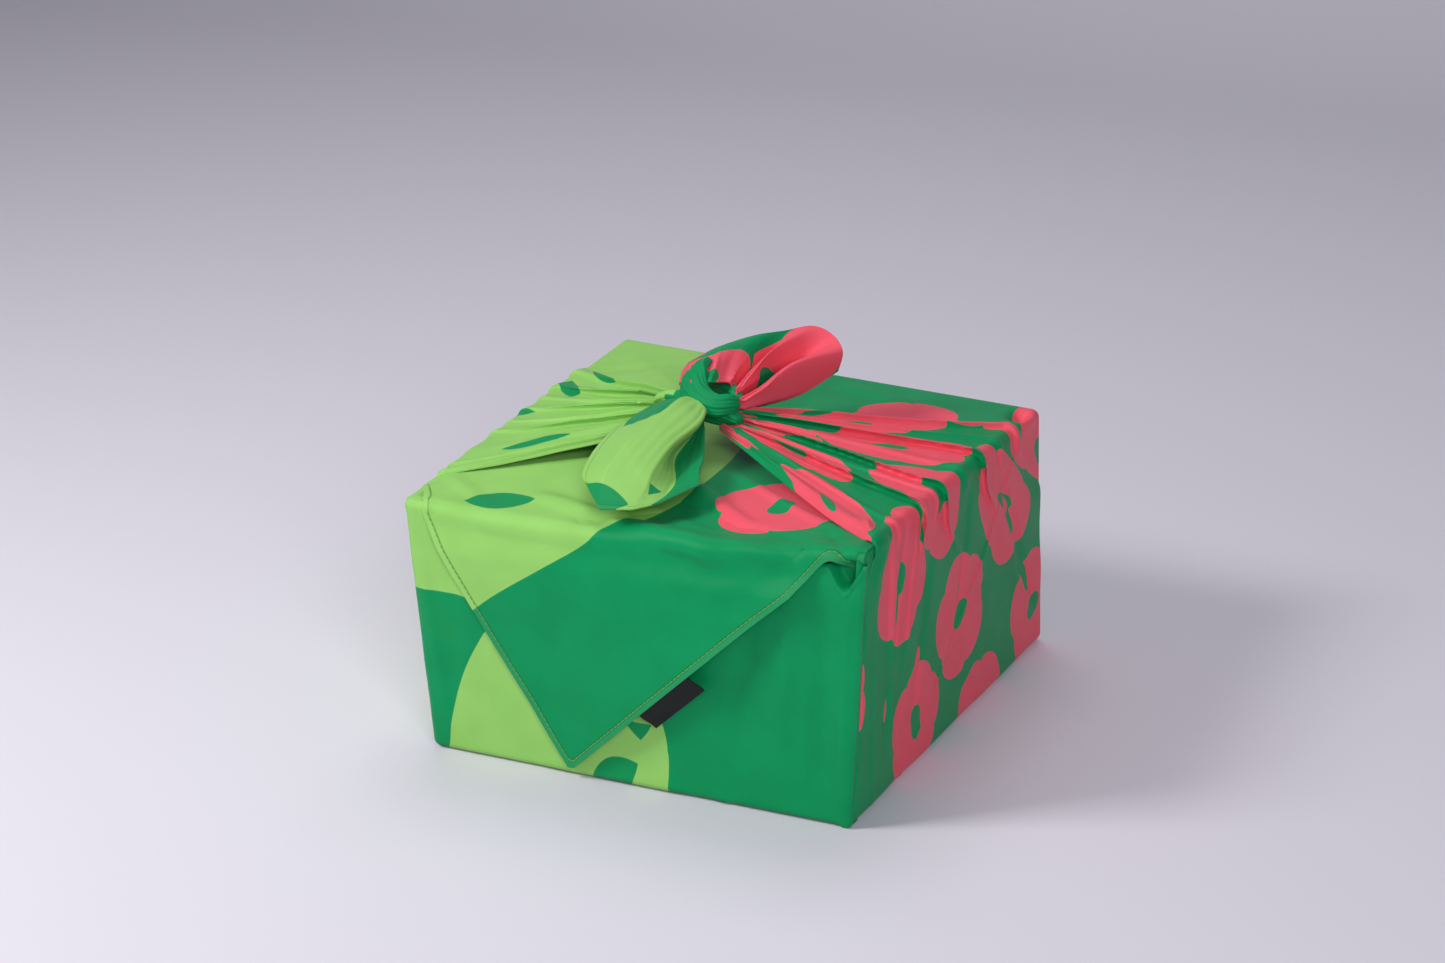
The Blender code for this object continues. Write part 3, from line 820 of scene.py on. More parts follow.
@dataclass
class NearPanel:
    """The front wall, turned round both corners, with the notch where the flap's hem tucks in."""

    step: float = 2.4
    turn: float = 12.0
    turn_right: float = 4.5
    fold_radius: float = 1.8
    shoulder: float = 27.0
    shoulder_right: float = -100.0
    hidden_top: float = 152.0
    notch: tuple[tuple[float, float], ...] = (
        (96, 151.5), (106, 151.0), (114, 151.6), (118.5, 151.8), (121.5, 148.6), (124.5, 143.4), (127.5, 139.2),
        (130, 137.6), (132.2, 139.0), (134.6, 143.4), (137, 148.6), (139, 152.5), (141, 156.0),
    )
    recess: float = 9.0
    waves: Unevenness = Unevenness(seed=11, height=0.3)
    folds: tuple[Fold, ...] = (
        Fold((118, 132), (121, 20), -1.8, 11),
        Fold((131, 128), (134, 10), 1.0, 6),
        Fold((100, 140), (92, 40), 1.7, 13, 0.5),
        Fold((76, 120), (64, 40), -1.2, 12, 0.5),
        Fold((14, 34), (64, -2), 0.9, 2.6),
        Fold((-60, 6), (30, 3), 0.9, 8),
        Fold((-100, 150), (-112, 20), 1.0, 12, 0.5),
        Fold((-132, 120), (-128, 20), 0.9, 6, 0.5),
    )

    def top(self, across: Array) -> Array:
        """Returns the height of the panel's upper border at places across."""
        over = PARCEL.height + self.shoulder
        return mix(self.hidden_top, over, smooth((self.shoulder_right - across) / 18))

    def notch_line(self, across: Array) -> Array:
        """Returns the height at places across above which the panel is turned in behind itself."""
        curve = through(np.array(self.notch), np.linspace(0, 1, 240))
        return np.interp(across, curve[:, 0], curve[:, 1])

    def build(self, material: bpy.types.Material) -> bpy.types.Object:
        """Makes the panel.

        Args:
            material: The printed cloth.

        Returns:
            The piece.
        """
        side, height = PARCEL.side, PARCEL.height
        arc = PARCEL.edge * (1 - np.tan(np.radians([45, 30, 15])))
        lip = np.concatenate([arc[1:], np.linspace(PARCEL.edge, self.turn, 4)])
        wide = PARCEL.steps(-side, side, self.step)
        fine = np.arange(112, 139, 0.9)
        wide = np.sort(np.concatenate([wide[(wide < 111.5) | (wide > 139.4)], fine]))
        across = np.concatenate([-side - lip[::-1], wide, side + lip[lip < self.turn_right]])
        bottom = -lip[::-1]
        wall = np.concatenate([[0.0], arc[1:], np.linspace(PARCEL.edge, height - 50, 34)])
        rise = np.linspace(0, 1, 58)[1:]
        top = self.top(across)
        a = np.tile(across, (len(bottom) + len(wall) + len(rise), 1))
        s = np.vstack([
            np.tile(np.concatenate([bottom, wall])[:, None], (1, len(across))),
            mix(height - 50.0, top[None, :], rise[:, None]),
        ])
        past = np.maximum(np.abs(a) - side, 0)
        over = np.maximum(s - height, 0)
        level = np.clip(s, 0, height) - past * np.clip(over / 10, 0, 1)
        depth = np.maximum(past, over) + np.maximum(-s, 0)
        box = np.stack([np.clip(a, -side, side), -PARCEL.front + depth, level], axis=-1)
        crisp = smooth((a - side + 9) / 5)[..., None]
        points = mix(PARCEL.rounded(box, PARCEL.edge), PARCEL.rounded(box, self.fold_radius), crisp)
        lift = PARCEL.proud * (1 - 0.6 * smooth(past / 8)) + self.waves.lift(a, s) * smooth((s - 4) / 20)
        lift += sum(fold.lift(a, s) for fold in self.folds) * (past == 0)
        lift += 1.5 * smooth((a - side + 14) / 12) * smooth((s - 4) / 16) * (a <= side)
        inner = np.clip(points, [-side + 5, -PARCEL.front + 5, 5], [side - 5, PARCEL.front - 5, height - 5])
        away = points - inner
        away[..., 2] = np.where(s < 5, away[..., 2], 0)
        away /= np.maximum(np.linalg.norm(away, axis=-1, keepdims=True), 1e-9)
        low = smooth((s + 2) / 6)
        points = points + away * (lift * mix(0.3, 1.0, low))[..., None]
        points = self.roll_in(points, a, s)
        points[..., 2] = np.maximum(points[..., 2], 0.1)
        corner = (np.abs(a) > side + 0.01) & (s < -0.01)
        keep = ~(corner[:-1, :-1] | corner[1:, 1:] | corner[:-1, 1:] | corner[1:, :-1])
        print_at = np.stack([a, -PARCEL.front - s], axis=-1)
        cloth = Cloth(PARCEL.settle(points), print_at, keep=keep)
        return declare(cloth.piece("near_panel", material, weld=True), (0.304, 0.165))

    def roll_in(self, points: Array, a: Array, s: Array) -> Array:
        """Turns the panel in behind itself above the notch, where the flap's hem is tucked.

        Args:
            points: The panel's points.
            a: Their places across.
            s: Their places up the panel.

        Returns:
            The points, turned in above the notch.
        """
        past = s - self.notch_line(a)
        window = smooth((a - 112) / 8) * smooth((139.5 - a) / 4)
        points = points.copy()
        points[..., 1] += self.recess * window * smooth((past + 1.2) / 4.2)
        points[..., 1] -= 0.9 * window * np.exp(-(((past + 2.2) / 1.8) ** 2))
        return points


@dataclass
class Flap:
    """The far corner of the cloth: over the top in front of the knot, and down the front to its tip."""

    radius: float = 6.0
    top_left: float = -129.0
    left_bow: float = 1.2
    tip: tuple[float, float] = (-41.0, 7.0)
    tip_width: float = 4.0
    right_top: tuple[float, float] = (123.5, 154.0)
    right_edge: float = 137.0
    rest_gap: float = 1.2
    layer: float = 2.0
    hem_lift: float = 9.0
    free_from: float = 8.0
    free_over: float = 22.0
    straight_to: float = 100.0
    tuck: tuple[tuple[float, float], ...] = (
        (106, 140.4), (110.6, 146.0), (115, 151.2), (118.6, 154.2), (122, 154.9), (125.4, 153.2), (129, 150.0),
        (132.4, 147.4), (135.2, 148.0), (137.6, 151.4), (139.6, 156),
    )
    lift_on_top: float = 1.1
    stitch_from_edge: float = 3.6
    waves: Unevenness = Unevenness(seed=21, height=0.42, shortest=38.0, longest=130.0)
    folds: tuple[Fold, ...] = (
        Fold((-70, -30), (60, 8), 2.9, 12),
        Fold((-10, -52), (104, 2), -2.8, 13),
        Fold((10, -70), (60, -24), 2.4, 9),
        Fold((26, -92), (118, -22), 1.6, 6),
        Fold((-34, -8), (16, -34), -2.4, 10),
        Fold((-118, -6), (-70, 60), 0.9, 16),
        Fold((40, 8), (108, 4), 1.5, 13),
        Fold((60, 40), (100, 10), -1.1, 14),
        Fold((-30, 20), (-60, 120), -0.8, 22),
        Fold((128, 2), (112, -18), -1.0, 6),
        Fold((-132, -40), (-90, -8), 0.8, 9),
        Fold((-100, 6), (20, 9), 0.7, 6),
    )

    @property
    def quarter(self) -> float:
        """Returns half the length of the arc over the front edge."""
        return math.pi / 4 * self.radius

    def down_to(self, level: Array | float) -> Array:
        """Returns how far below the front edge a height lies, along the cloth."""
        return PARCEL.height - self.radius + self.quarter - level

    def borders(self, level: Array) -> tuple[Array, Array]:
        """Returns the left and right borders at heights above the floor."""
        down = np.clip((PARCEL.height - level) / (PARCEL.height - self.tip[1]), 0, 1)
        left = mix(self.top_left, self.tip[0] - self.tip_width / 2, down**self.left_bow)
        up = np.clip((self.right_top[1] - level) / (self.right_top[1] - self.tip[1]), 0, 1)
        right = mix(self.right_top[0], self.tip[0] + self.tip_width / 2, up)
        turn = smooth((PARCEL.height - level) / (PARCEL.height - self.right_top[1]))
        return left, mix(self.right_edge, right, turn)

    def standing(self, x: Array, level: Array) -> Array:
        """Returns how far the hanging flap stands off the front of the box."""
        left, right = self.borders(level)
        across = np.clip((x - left) / np.maximum(right - left, 1e-6), 0, 1)
        down = np.clip((PARCEL.height - level) / (PARCEL.height - self.tip[1]), 0, 1)
        lift = self.hem_lift * across**2 * np.sin(math.pi * down)
        free = smooth((PARCEL.height - self.free_from - level) / self.free_over)
        ripple = 0.7 * across**4 * np.sin(level / 11.0) * np.sin(math.pi * down)
        return 2 * PARCEL.proud + free * (self.layer + self.rest_gap + lift + ripple)

    def surface(self, x: Array, s: Array, extra: float = 0.0) -> Array:
        """Places the flap.

        Args:
            x: Places across.
            s: Distances along the cloth from the middle of the front edge, less than zero on top.
            extra: How far outside the cloth's face to place the points.

        Returns:
            The settled points.
        """
        angle = np.clip((s + self.quarter) / self.radius, 0, math.pi / 2)
        level = PARCEL.height - self.radius + self.quarter - np.maximum(s, self.quarter)
        back = np.maximum(-s - self.quarter, 0)
        on_front = self.standing(x, level)
        lift = mix(self.lift_on_top, on_front, np.sin(angle) ** 2) + extra
        lift += self.waves.lift(x, s) + sum(fold.lift(x, s) for fold in self.folds)
        tucked = smooth((x - 122.5) / 9.0) * smooth((s - self.quarter * 0.4) / 9.0)
        arch = np.exp(-(((x - 119.0) / 8.0) ** 2) - ((s - self.down_to(153.0)) / 7.0) ** 2)
        lift += 1.8 * arch - 9.5 * tucked
        edge = smooth((np.abs(x) - 133) / 8)
        y = -PARCEL.front + self.radius + back - np.sin(angle) * (self.radius + lift)
        z = level + np.cos(angle) * (self.radius + lift) - 2.2 * edge
        return PARCEL.settle(np.stack([x + 0 * s, y, z], axis=-1))

    def hem_path(self) -> Array:
        """Returns the flap's border across, as places (x, s), from the top left to the pocket."""
        quarter = self.quarter
        turn = [(-140.2, -quarter - 17.0), (-135.0, -quarter - 9.0), (-130.4, -quarter - 1.6), (-129.2, -quarter / 3)]
        levels = np.linspace(PARCEL.height - self.radius, self.tip[1], 62)
        left = np.stack([self.borders(levels)[0], self.down_to(levels)], axis=1)
        slope = (self.right_top[1] - self.tip[1]) / (self.right_top[0] - self.tip[0] - self.tip_width / 2)
        xs = np.linspace(self.tip[0] + self.tip_width / 2, self.straight_to, 84)
        right = np.stack([xs, self.down_to(self.tip[1] + (xs - xs[0]) * slope)], axis=1)
        tuck = through(np.array(self.tuck), np.linspace(0, 1, 40))
        tuck = np.stack([tuck[:, 0], self.down_to(tuck[:, 1])], axis=1)
        return np.vstack([turn, left, right, tuck])

    def back_border(self, x: Array) -> Array:
        """Returns how far back the sheet reaches, as s: under both gathered sides."""
        left = mix(-26.0, -114.0, np.clip((-24 - x) / 116, 0, 1))
        right = mix(-27.0, -137.0, np.clip((x - 2) / 138, 0, 1))
        y = np.minimum(np.where(x < -10, left, right), -22.0) + 15
        return -(y + PARCEL.front - self.radius) - self.quarter

    def build(self, material: bpy.types.Material) -> bpy.types.Object:
        """Makes the flap.

        Args:
            material: The printed cloth.

        Returns:
            The piece.
        """
        path = self.hem_path()
        start, end = self.back_border(path[:, 0]), path[:, 1]
        start = np.minimum(start, end - 4)
        share = np.linspace(0, 1, 132)[:, None]
        even = mix(start, end, share)
        low, high = 0.36, 0.46
        stages = np.where(
            share < low, mix(start, -self.quarter, share / low),
            np.where(share < high, mix(-self.quarter, self.quarter, (share - low) / (high - low)),
                     mix(self.quarter, end, (share - high) / (1 - high))),
        )
        s = mix(even, stages, smooth((end - self.quarter) / 24) * smooth((-self.quarter - start) / 12))
        x = np.tile(path[:, 0], (len(share), 1))
        hem = distance_to(path, np.stack([x, s], axis=-1))
        print_at = np.stack([x, PARCEL.front + PARCEL.height + PARCEL.depth + s], axis=-1)
        cloth = Cloth(self.surface(x, s)[:, ::-1], print_at[:, ::-1], hem=hem[:, ::-1], thickness=0.9)
        return declare(cloth.piece("flap", material), (0.286, 0.285))

    def stitch_path(self) -> Array:
        """Returns the line of the hem's stitches in millimetres, just outside the cloth."""
        path = self.hem_path()
        path = path[path[:, 0] < 128]
        run = np.gradient(path, axis=0)
        run /= np.linalg.norm(run, axis=1, keepdims=True)
        inwards = np.stack([run[:, 1], -run[:, 0]], axis=1) * self.stitch_from_edge
        line = path + inwards
        corner = np.argmin(np.abs(path[:, 0] - self.tip[0]))
        keep = distance_to(path, line) > self.stitch_from_edge * 0.9
        keep[max(corner - 1, 0) : corner + 2] = False
        line = line[keep]
        return self.surface(line[:, 0], line[:, 1], extra=0.12)


@dataclass(frozen=True)
class Pleat:
    """A gather of a side panel.

    It starts at a share of the gathered width at the knot and ends at another at the top's edge. The run is how far
    down the wall it goes, and the drift how far back it moves on the way. The lean is how far its crest hangs over to
    the front, and a crisp one is steeper there.
    """

    at_knot: float
    at_edge: float
    height: float
    half_width: float
    run: float
    lean: float = 0.5
    drift: float = 0.0
    crisp: float = 0.6


@dataclass
class SidePanel:
    """A side of the cloth: under the parcel's edge, up the wall, over the top's edge and gathered into the knot."""

    name: str
    side: int
    knot_front: tuple[float, float, float]
    knot_back: tuple[float, float, float]
    edge_front: float
    edge_back: float
    wall_front: float
    wall_back: float
    back_drop: float
    pleats: tuple[Pleat, ...]
    folds: tuple[Fold, ...]
    waves: Unevenness
    flat: tuple[float, float]
    area: float
    front_drop: float = 20.0
    lift_on_top: float = 2.0
    lift_on_wall: float = 1.3
    knot_width: float = 470.0
    edge_share: float = 0.9
    rows: tuple[int, int, int, int] = (84, 9, 60, 8)
    columns: int = 220

    def gathers(self, t: Array, top: Array, wall: Array, width: Array) -> tuple[Array, Array]:
        """Works out the pleats.

        Args:
            t: Shares across the panel, 0 at the front.
            top: The share of the way from the knot to the edge, 1 past it.
            wall: The share of the way down the wall, 0 above it.
            width: The panel's width there in millimetres.

        Returns:
            How far the pleats lift the cloth, and how far they push it to the back.
        """
        lift, push = np.zeros(t.shape), np.zeros(t.shape)
        for pleat in self.pleats:
            middle = mix(pleat.at_knot, pleat.at_edge, smooth(top) * 0.5 + top * 0.5) + pleat.drift * wall
            middle += 0.007 * np.sin(6 * top + 5 * wall + 40 * pleat.at_edge) * top
            reach = mix(1.7, pleat.half_width, top**0.8) * (1 + 0.7 * wall)
            away = (t - middle) * width
            reach = reach * np.where(away < 0, 1 - 0.5 * pleat.crisp * (1 - wall), 1 + 0.7 * pleat.crisp)
            profile = bell(away, reach) ** (1 + 0.6 * pleat.crisp)
            grown = (0.35 + 0.65 * smooth(top / 0.3)) * mix(1.0, self.edge_share, smooth((top - 0.5) / 0.5))
            tall = pleat.height * grown * smooth(1 - wall / pleat.run)
            lift += tall * profile
            push -= pleat.lean * tall * profile**2
        fade = (1 - top) ** 1.6 * smooth(top / 0.08)
        lift += 0.55 * fade * np.cos(2 * math.pi * 13.3 * t + 0.7)
        lift += 0.35 * fade * np.cos(2 * math.pi * 29.0 * t + 2.1)
        return lift, push

    def surface(self, t: Array, along: Array) -> tuple[Array, Array]:
        """Places the panel.

        Args:
            t: Shares across, 0 at the front and 1 at the back, one for each column.
            along: Stage numbers plus the share of each stage, one for each row: the top, its edge, the wall, under it.

        Returns:
            The points before they settle, and the places on the flat cloth.
        """
        t, v = np.meshgrid(t, along)
        top, arc, wall, under = (np.clip(v - i, 0, 1) for i in range(4))
        radius, side, height = PARCEL.edge, PARCEL.side, PARCEL.height
        edge_y = mix(self.edge_front, self.edge_back, t)
        wall_y = mix(self.wall_front, self.wall_back, t)
        knot = mix(np.array(self.knot_front), np.array(self.knot_back), t[..., None])
        reach = (side - radius) * self.side
        drop = 1 - (1 - top) ** 1.25
        x_top = mix(knot[..., 0], reach, top)
        z_top = mix(knot[..., 2], height + self.lift_on_top, drop)
        y_top = mix(knot[..., 1], edge_y, top)
        turn = arc * math.pi / 2 + under * math.pi / 2
        below = wall * (height - 2 * radius)
        front = mix(self.edge_front, self.wall_front, smooth(below / self.front_drop))
        back = mix(self.edge_back, self.wall_back, smooth(below / self.back_drop))
        gathered = np.hypot(*(np.array(self.knot_back) - self.knot_front)[:2])
        width = np.where(top < 1, mix(gathered, self.edge_back - self.edge_front, top), back - front)
        lift, push = self.gathers(t, top, wall, width)
        y_wall = mix(front, back, t)
        y = np.where(top < 1, y_top, np.where(wall > 0, y_wall, edge_y))
        y = np.where(under > 0, wall_y, y)
        plane = np.where(v < 1, height + (1 - top) * side, np.where(v < 2, height, height - wall * height))
        lift = lift + self.waves.lift(y, plane) * smooth(top * 2)
        lift = lift + sum(fold.lift(y, plane) for fold in self.folds)
        lift *= 1 - under
        from_border = np.minimum(t, 1 - t) * width
        roll = 1.3 * (1 - np.sqrt(np.clip(1 - np.clip(1 - from_border / 1.5, 0, 1) ** 2, 0, 1)))
        base = mix(self.lift_on_top, self.lift_on_wall, smooth(arc)) - mix(0, 1.6, under)
        out = radius + base + lift - roll
        x = np.where(v <= 1, x_top, self.side * (side - radius + np.sin(turn) * out))
        z = np.where(v <= 1, z_top + lift - roll, height - radius - below + np.cos(turn) * out)
        z = np.where(v > 3, np.maximum(radius + np.cos(turn) * out, 0.05), z)
        points = np.stack([x, y + push, z], axis=-1)
        half = mix(self.knot_width / 2, (self.wall_back - self.wall_front) / 2, top**0.7)
        length = np.where(v < 1, height + (1 - top) * (side - 20), height - below - radius * (arc - under))
        print_at = np.stack([self.side * (side + length), mix(-half, half, t)], axis=-1)
        return points, print_at

    def build(self, material: bpy.types.Material) -> bpy.types.Object:
        """Makes the panel.

        Args:
            material: The printed cloth.

        Returns:
            The piece.
        """
        border = np.array([0.0, 0.0008, 0.0018, 0.0032, 0.0052])
        t = np.concatenate([border, np.linspace(0.008, 0.992, self.columns), 1 - border[::-1]])
        stages = [np.linspace(i, i + 1, count + 1)[: None if i == 3 else -1] for i, count in enumerate(self.rows)]
        points, print_at = self.surface(t, np.concatenate(stages))
        if self.side > 0:
            points, print_at = points[:, ::-1], print_at[:, ::-1]
        cloth = Cloth(PARCEL.settle(points), print_at)
        made = cloth.piece(self.name, material)
        return declare(made, self.flat)


RIGHT_PANEL = SidePanel(
    name="right_panel",
    side=1,
    knot_front=(2, -27, 179),
    knot_back=(6, -6, 186),
    edge_front=-137,
    edge_back=105,
    wall_front=-146,
    wall_back=147,
    back_drop=52,
    flat=(0.30, 0.31),
    area=0.088,
    waves=Unevenness(seed=31, height=0.55),
    pleats=(
        Pleat(0.07, 0.04, 2.8, 12.0, 0.30, 0.3, 0.0, 0.2),
        Pleat(0.20, 0.15, 1.6, 6.0, 0.15, 0.3),
        Pleat(0.33, 0.306, 4.8, 6.0, 0.22, 1.1, 0.02, 0.9),
        Pleat(0.42, 0.39, 1.5, 4.0, 0.12, 0.3),
        Pleat(0.52, 0.4545, 4.4, 6.0, 0.34, 1.1, 0.14, 0.9),
        Pleat(0.64, 0.60, 1.8, 8.0, 0.08, 0.4),
        Pleat(0.74, 0.727, 4.6, 7.0, 0.36, 1.1, 0.06, 0.9),
        Pleat(0.85, 0.85, 1.8, 6.0, 0.15, 0.4),
        Pleat(0.95, 0.965, 3.4, 7.0, 0.12, 0.5, 0.0, 0.5),
    ),
    folds=(
        Fold((54, 108), (-83, -4), 0.8, 2.6),
        Fold((54, 108), (24, 80), 0.7, 2.8),
        Fold((24, 80), (120, 60), -1.1, 7.0),
        Fold((72, 140), (132, 30), -1.6, 9.0),
        Fold((-112, 164), (-100, 40), 2.0, 7.0, 0.5),
        Fold((-90, 158), (-108, 40), -1.6, 6.0, 0.5),
        Fold((-132, 110), (-122, 8), 1.0, 5.0, 0.5),
        Fold((-72, 150), (-84, 70), 1.4, 5.0, 0.5),
        Fold((-46, 130), (-66, 40), -1.5, 9.0, 0.5),
        Fold((-30, 60), (40, 8), 1.0, 11.0, 0.5),
        Fold((16, 150), (2, 70), -1.2, 7.0, 0.5),
        Fold((54, 108), (104, 158), 0.7, 3.0),
        Fold((-140, 158), (-108, 172), 1.4, 3.0, 0.4),
    ),
)
LEFT_PANEL = SidePanel(
    name="left_panel",
    side=-1,
    knot_front=(-24, -26, 177),
    knot_back=(-42, 6, 186),
    edge_front=-110,
    edge_back=84,
    wall_front=-146,
    wall_back=147,
    back_drop=60,
    flat=(0.30, 0.29),
    area=0.08,
    waves=Unevenness(seed=32, height=0.5),
    edge_share=0.4,
    pleats=(
        Pleat(0.05, 0.02, 2.4, 4.5, 0.10, 0.4, 0.0, 0.4),
        Pleat(0.13, 0.08, 1.6, 3.4, 0.10, 0.3, 0.0, 0.4),
        Pleat(0.24, 0.20, 1.6, 12.0, 0.20, 0.3, 0.0, 0.3),
        Pleat(0.40, 0.365, 3.6, 7.5, 0.35, 0.9, 0.0, 0.9),
        Pleat(0.50, 0.47, 1.8, 5.0, 0.15, 0.4),
        Pleat(0.62, 0.585, 3.8, 7.5, 0.25, 0.9, 0.0, 0.9),
        Pleat(0.72, 0.69, 2.0, 6.0, 0.20, 0.5),
        Pleat(0.83, 0.80, 4.6, 7.5, 0.40, 1.0, 0.0, 0.9),
        Pleat(0.95, 0.95, 4.4, 8.0, 0.15, 0.6, 0.0, 0.4),
    ),
    folds=(
        Fold((-60, 120), (70, 10), 0.8, 2.8),
        Fold((70, 130), (110, 20), -1.3, 8.0),
        Fold((-120, 150), (-106, 40), 1.4, 7.0, 0.5),
        Fold((-84, 150), (-90, 60), -1.2, 6.0, 0.5),
        Fold((-30, 155), (-16, 80), -1.1, 7.0, 0.5),
        Fold((30, 150), (44, 90), 1.0, 6.0, 0.5),
    ),
)


@dataclass
class Ear:
    """A free end of the tied cloth: a smooth surface through a table of sections."""

    name: str
    table: tuple
    middle: tuple[float, float]
    flat: tuple[float, float]
    area: float
    hems: tuple[bool, bool, bool]
    columns: int = 120
    rows: int = 90
    print_turn: float = 0.0
    sharp: float = 0.0
    gathers: float = 0.9
    gather_count: float = 6.5

    def lengths(self, points: Array) -> tuple[float, float]:
        """Returns the mean lengths of the surface, across and along."""
        across = np.linalg.norm(np.diff(points, axis=1), axis=2).sum(axis=1).mean()
        along = np.linalg.norm(np.diff(points, axis=0), axis=2).sum(axis=0).mean()
        return across, along

    def ripples(self, u: Array, v: Array) -> Array:
        """Returns the fine gathers that run out from the knot."""
        fade = (1 - v) ** 1.5 * smooth(v / 0.12)
        wave = np.abs(np.cos(math.pi * self.gather_count * u + 0.4 + 1.2 * v)) ** 0.8 * 2 - 1
        return fade * (self.gathers * wave + 0.3 * np.cos(2 * math.pi * 15 * u))

    def surface(self, across: Array, along: Array, extra: float = 0.0) -> Array:
        """Returns the ear's points, rows by columns, extra millimetres outside its face."""
        points = patch(self.table, across, along, self.sharp)
        u, v = np.meshgrid(across, along)
        return points + normals_of(points) * (self.ripples(u, v) + extra)[..., None]

    def stitch_path(self, from_edge: float = 3.6) -> Array:
        """Returns the line of stitches along the ear's left and bottom hems, just outside the cloth."""
        across, along = np.linspace(0, 1, self.columns), np.linspace(0.3, 1, self.rows)
        points = self.surface(across, along, extra=0.62)
        wide = np.linalg.norm(np.diff(points, axis=1), axis=2).sum(axis=1)
        side = [points[i, round(from_edge / wide[i] * (self.columns - 1))] for i in range(self.rows)]
        long = np.linalg.norm(np.diff(points, axis=0), axis=2)
        left = np.cumsum(long[::-1], axis=0)[::-1]
        rows = np.minimum((left > from_edge).sum(axis=0), self.rows - 2)
        first = round(from_edge / wide[-1] * (self.columns - 1))
        side = [point for point, i in zip(side, range(self.rows)) if i < rows[first]]
        return np.array(side + [points[rows[j], j] for j in range(first, self.columns - 1)])

    def build(self, material: bpy.types.Material) -> bpy.types.Object:
        """Makes the ear.

        Args:
            material: The printed cloth.

        Returns:
            The piece.
        """
        across, along = np.linspace(0, 1, self.columns), np.linspace(0, 1, self.rows)
        points = self.surface(across, along)
        wide, long = self.lengths(points)
        u, v = np.meshgrid(across, along)
        from_edges = (u * wide, (1 - u) * wide, (1 - v) * long)
        gaps = [np.where(on, gap, FAR_FROM_HEM) for on, gap in zip(self.hems, from_edges)]
        local = np.stack([(u - 0.5) * wide, v * long], axis=-1)
        cos, sin = math.cos(self.print_turn), math.sin(self.print_turn)
        print_at = local @ np.array([[cos, sin], [-sin, cos]]) + np.array(self.middle)
        cloth = Cloth(points, print_at, hem=np.min(gaps, axis=0), thickness=0.9, offset=0)
        made = cloth.piece(self.name, material)
        return declare(made, self.flat)


FRONT_EAR = Ear(
    name="front_ear",
    table=(
        ((-26, -14, 186), (-20, -24, 195), (-5, -36, 193), (-9, -30, 185), (-12, -24, 181)),
        ((-44, -17, 185), (-24, -44, 197), (-1, -56, 191), (-10, -46, 179), (-4, -40, 180)),
        ((-52, -57, 182), (-24, -74, 194), (-4, -86, 187), (-9, -72, 174), (9, -70, 177)),
        ((-52, -88, 178), (-25, -104, 189), (-4, -112, 180), (2, -98, 171), (16, -92, 177)),
        ((-48, -112, 173), (-27, -128, 180), (-2, -128, 174), (7, -118, 170), (21, -104, 176)),
        ((-42, -122, 171), (-18, -154, 169), (-1, -147, 169), (10, -134, 170), (24, -110, 175)),
    ),
    middle=(-52.0, -262.0),
    flat=(0.11, 0.12),
    area=0.0105,
    hems=(True, False, True),
    print_turn=-0.55,
    sharp=0.95,
    gathers=0.55,
    gather_count=4.5,
)
REAR_EAR = Ear(
    name="rear_ear",
    table=(
        (
            (4, -12, 185), (7, -16, 193), (3, -9, 190), (3, -9, 198), (0, -5, 194), (-3, -6, 200),
            (-10, -14, 202), (-18, -20, 201), (-22, -22, 196),
        ),
        (
            (13, 8, 183), (17, 0, 199), (6, 12, 188), (6, 8, 205), (0, 18, 193), (-7, 12, 204),
            (-14, 0, 208), (-24, -9, 206), (-28, -15, 197),
        ),
        (
            (26, 36, 184), (26, 28, 206), (11, 42, 193), (8, 38, 210), (2, 44, 202), (-8, 32, 211),
            (-20, 14, 211), (-32, 2, 206), (-34, -6, 196),
        ),
        (
            (40, 60, 193), (43, 60, 206), (33, 70, 212), (20, 70, 216), (6, 58, 215), (-8, 44, 214),
            (-26, 24, 209), (-38, 10, 201), (-37, -2, 193),
        ),
    ),
    middle=(372.0, 20.0),
    flat=(0.13, 0.08),
    area=0.0095,
    hems=(False, False, False),
    columns=190,
    rows=80,
    gathers=2.4,
    gather_count=7.0,
)


@dataclass(frozen=True)
class Section:
    """A section of a band of the knot: its middle, the direction of its width, and its half sizes."""

    centre: tuple[float, float, float]
    width_axis: tuple[float, float, float]
    half_width: float
    half_thickness: float


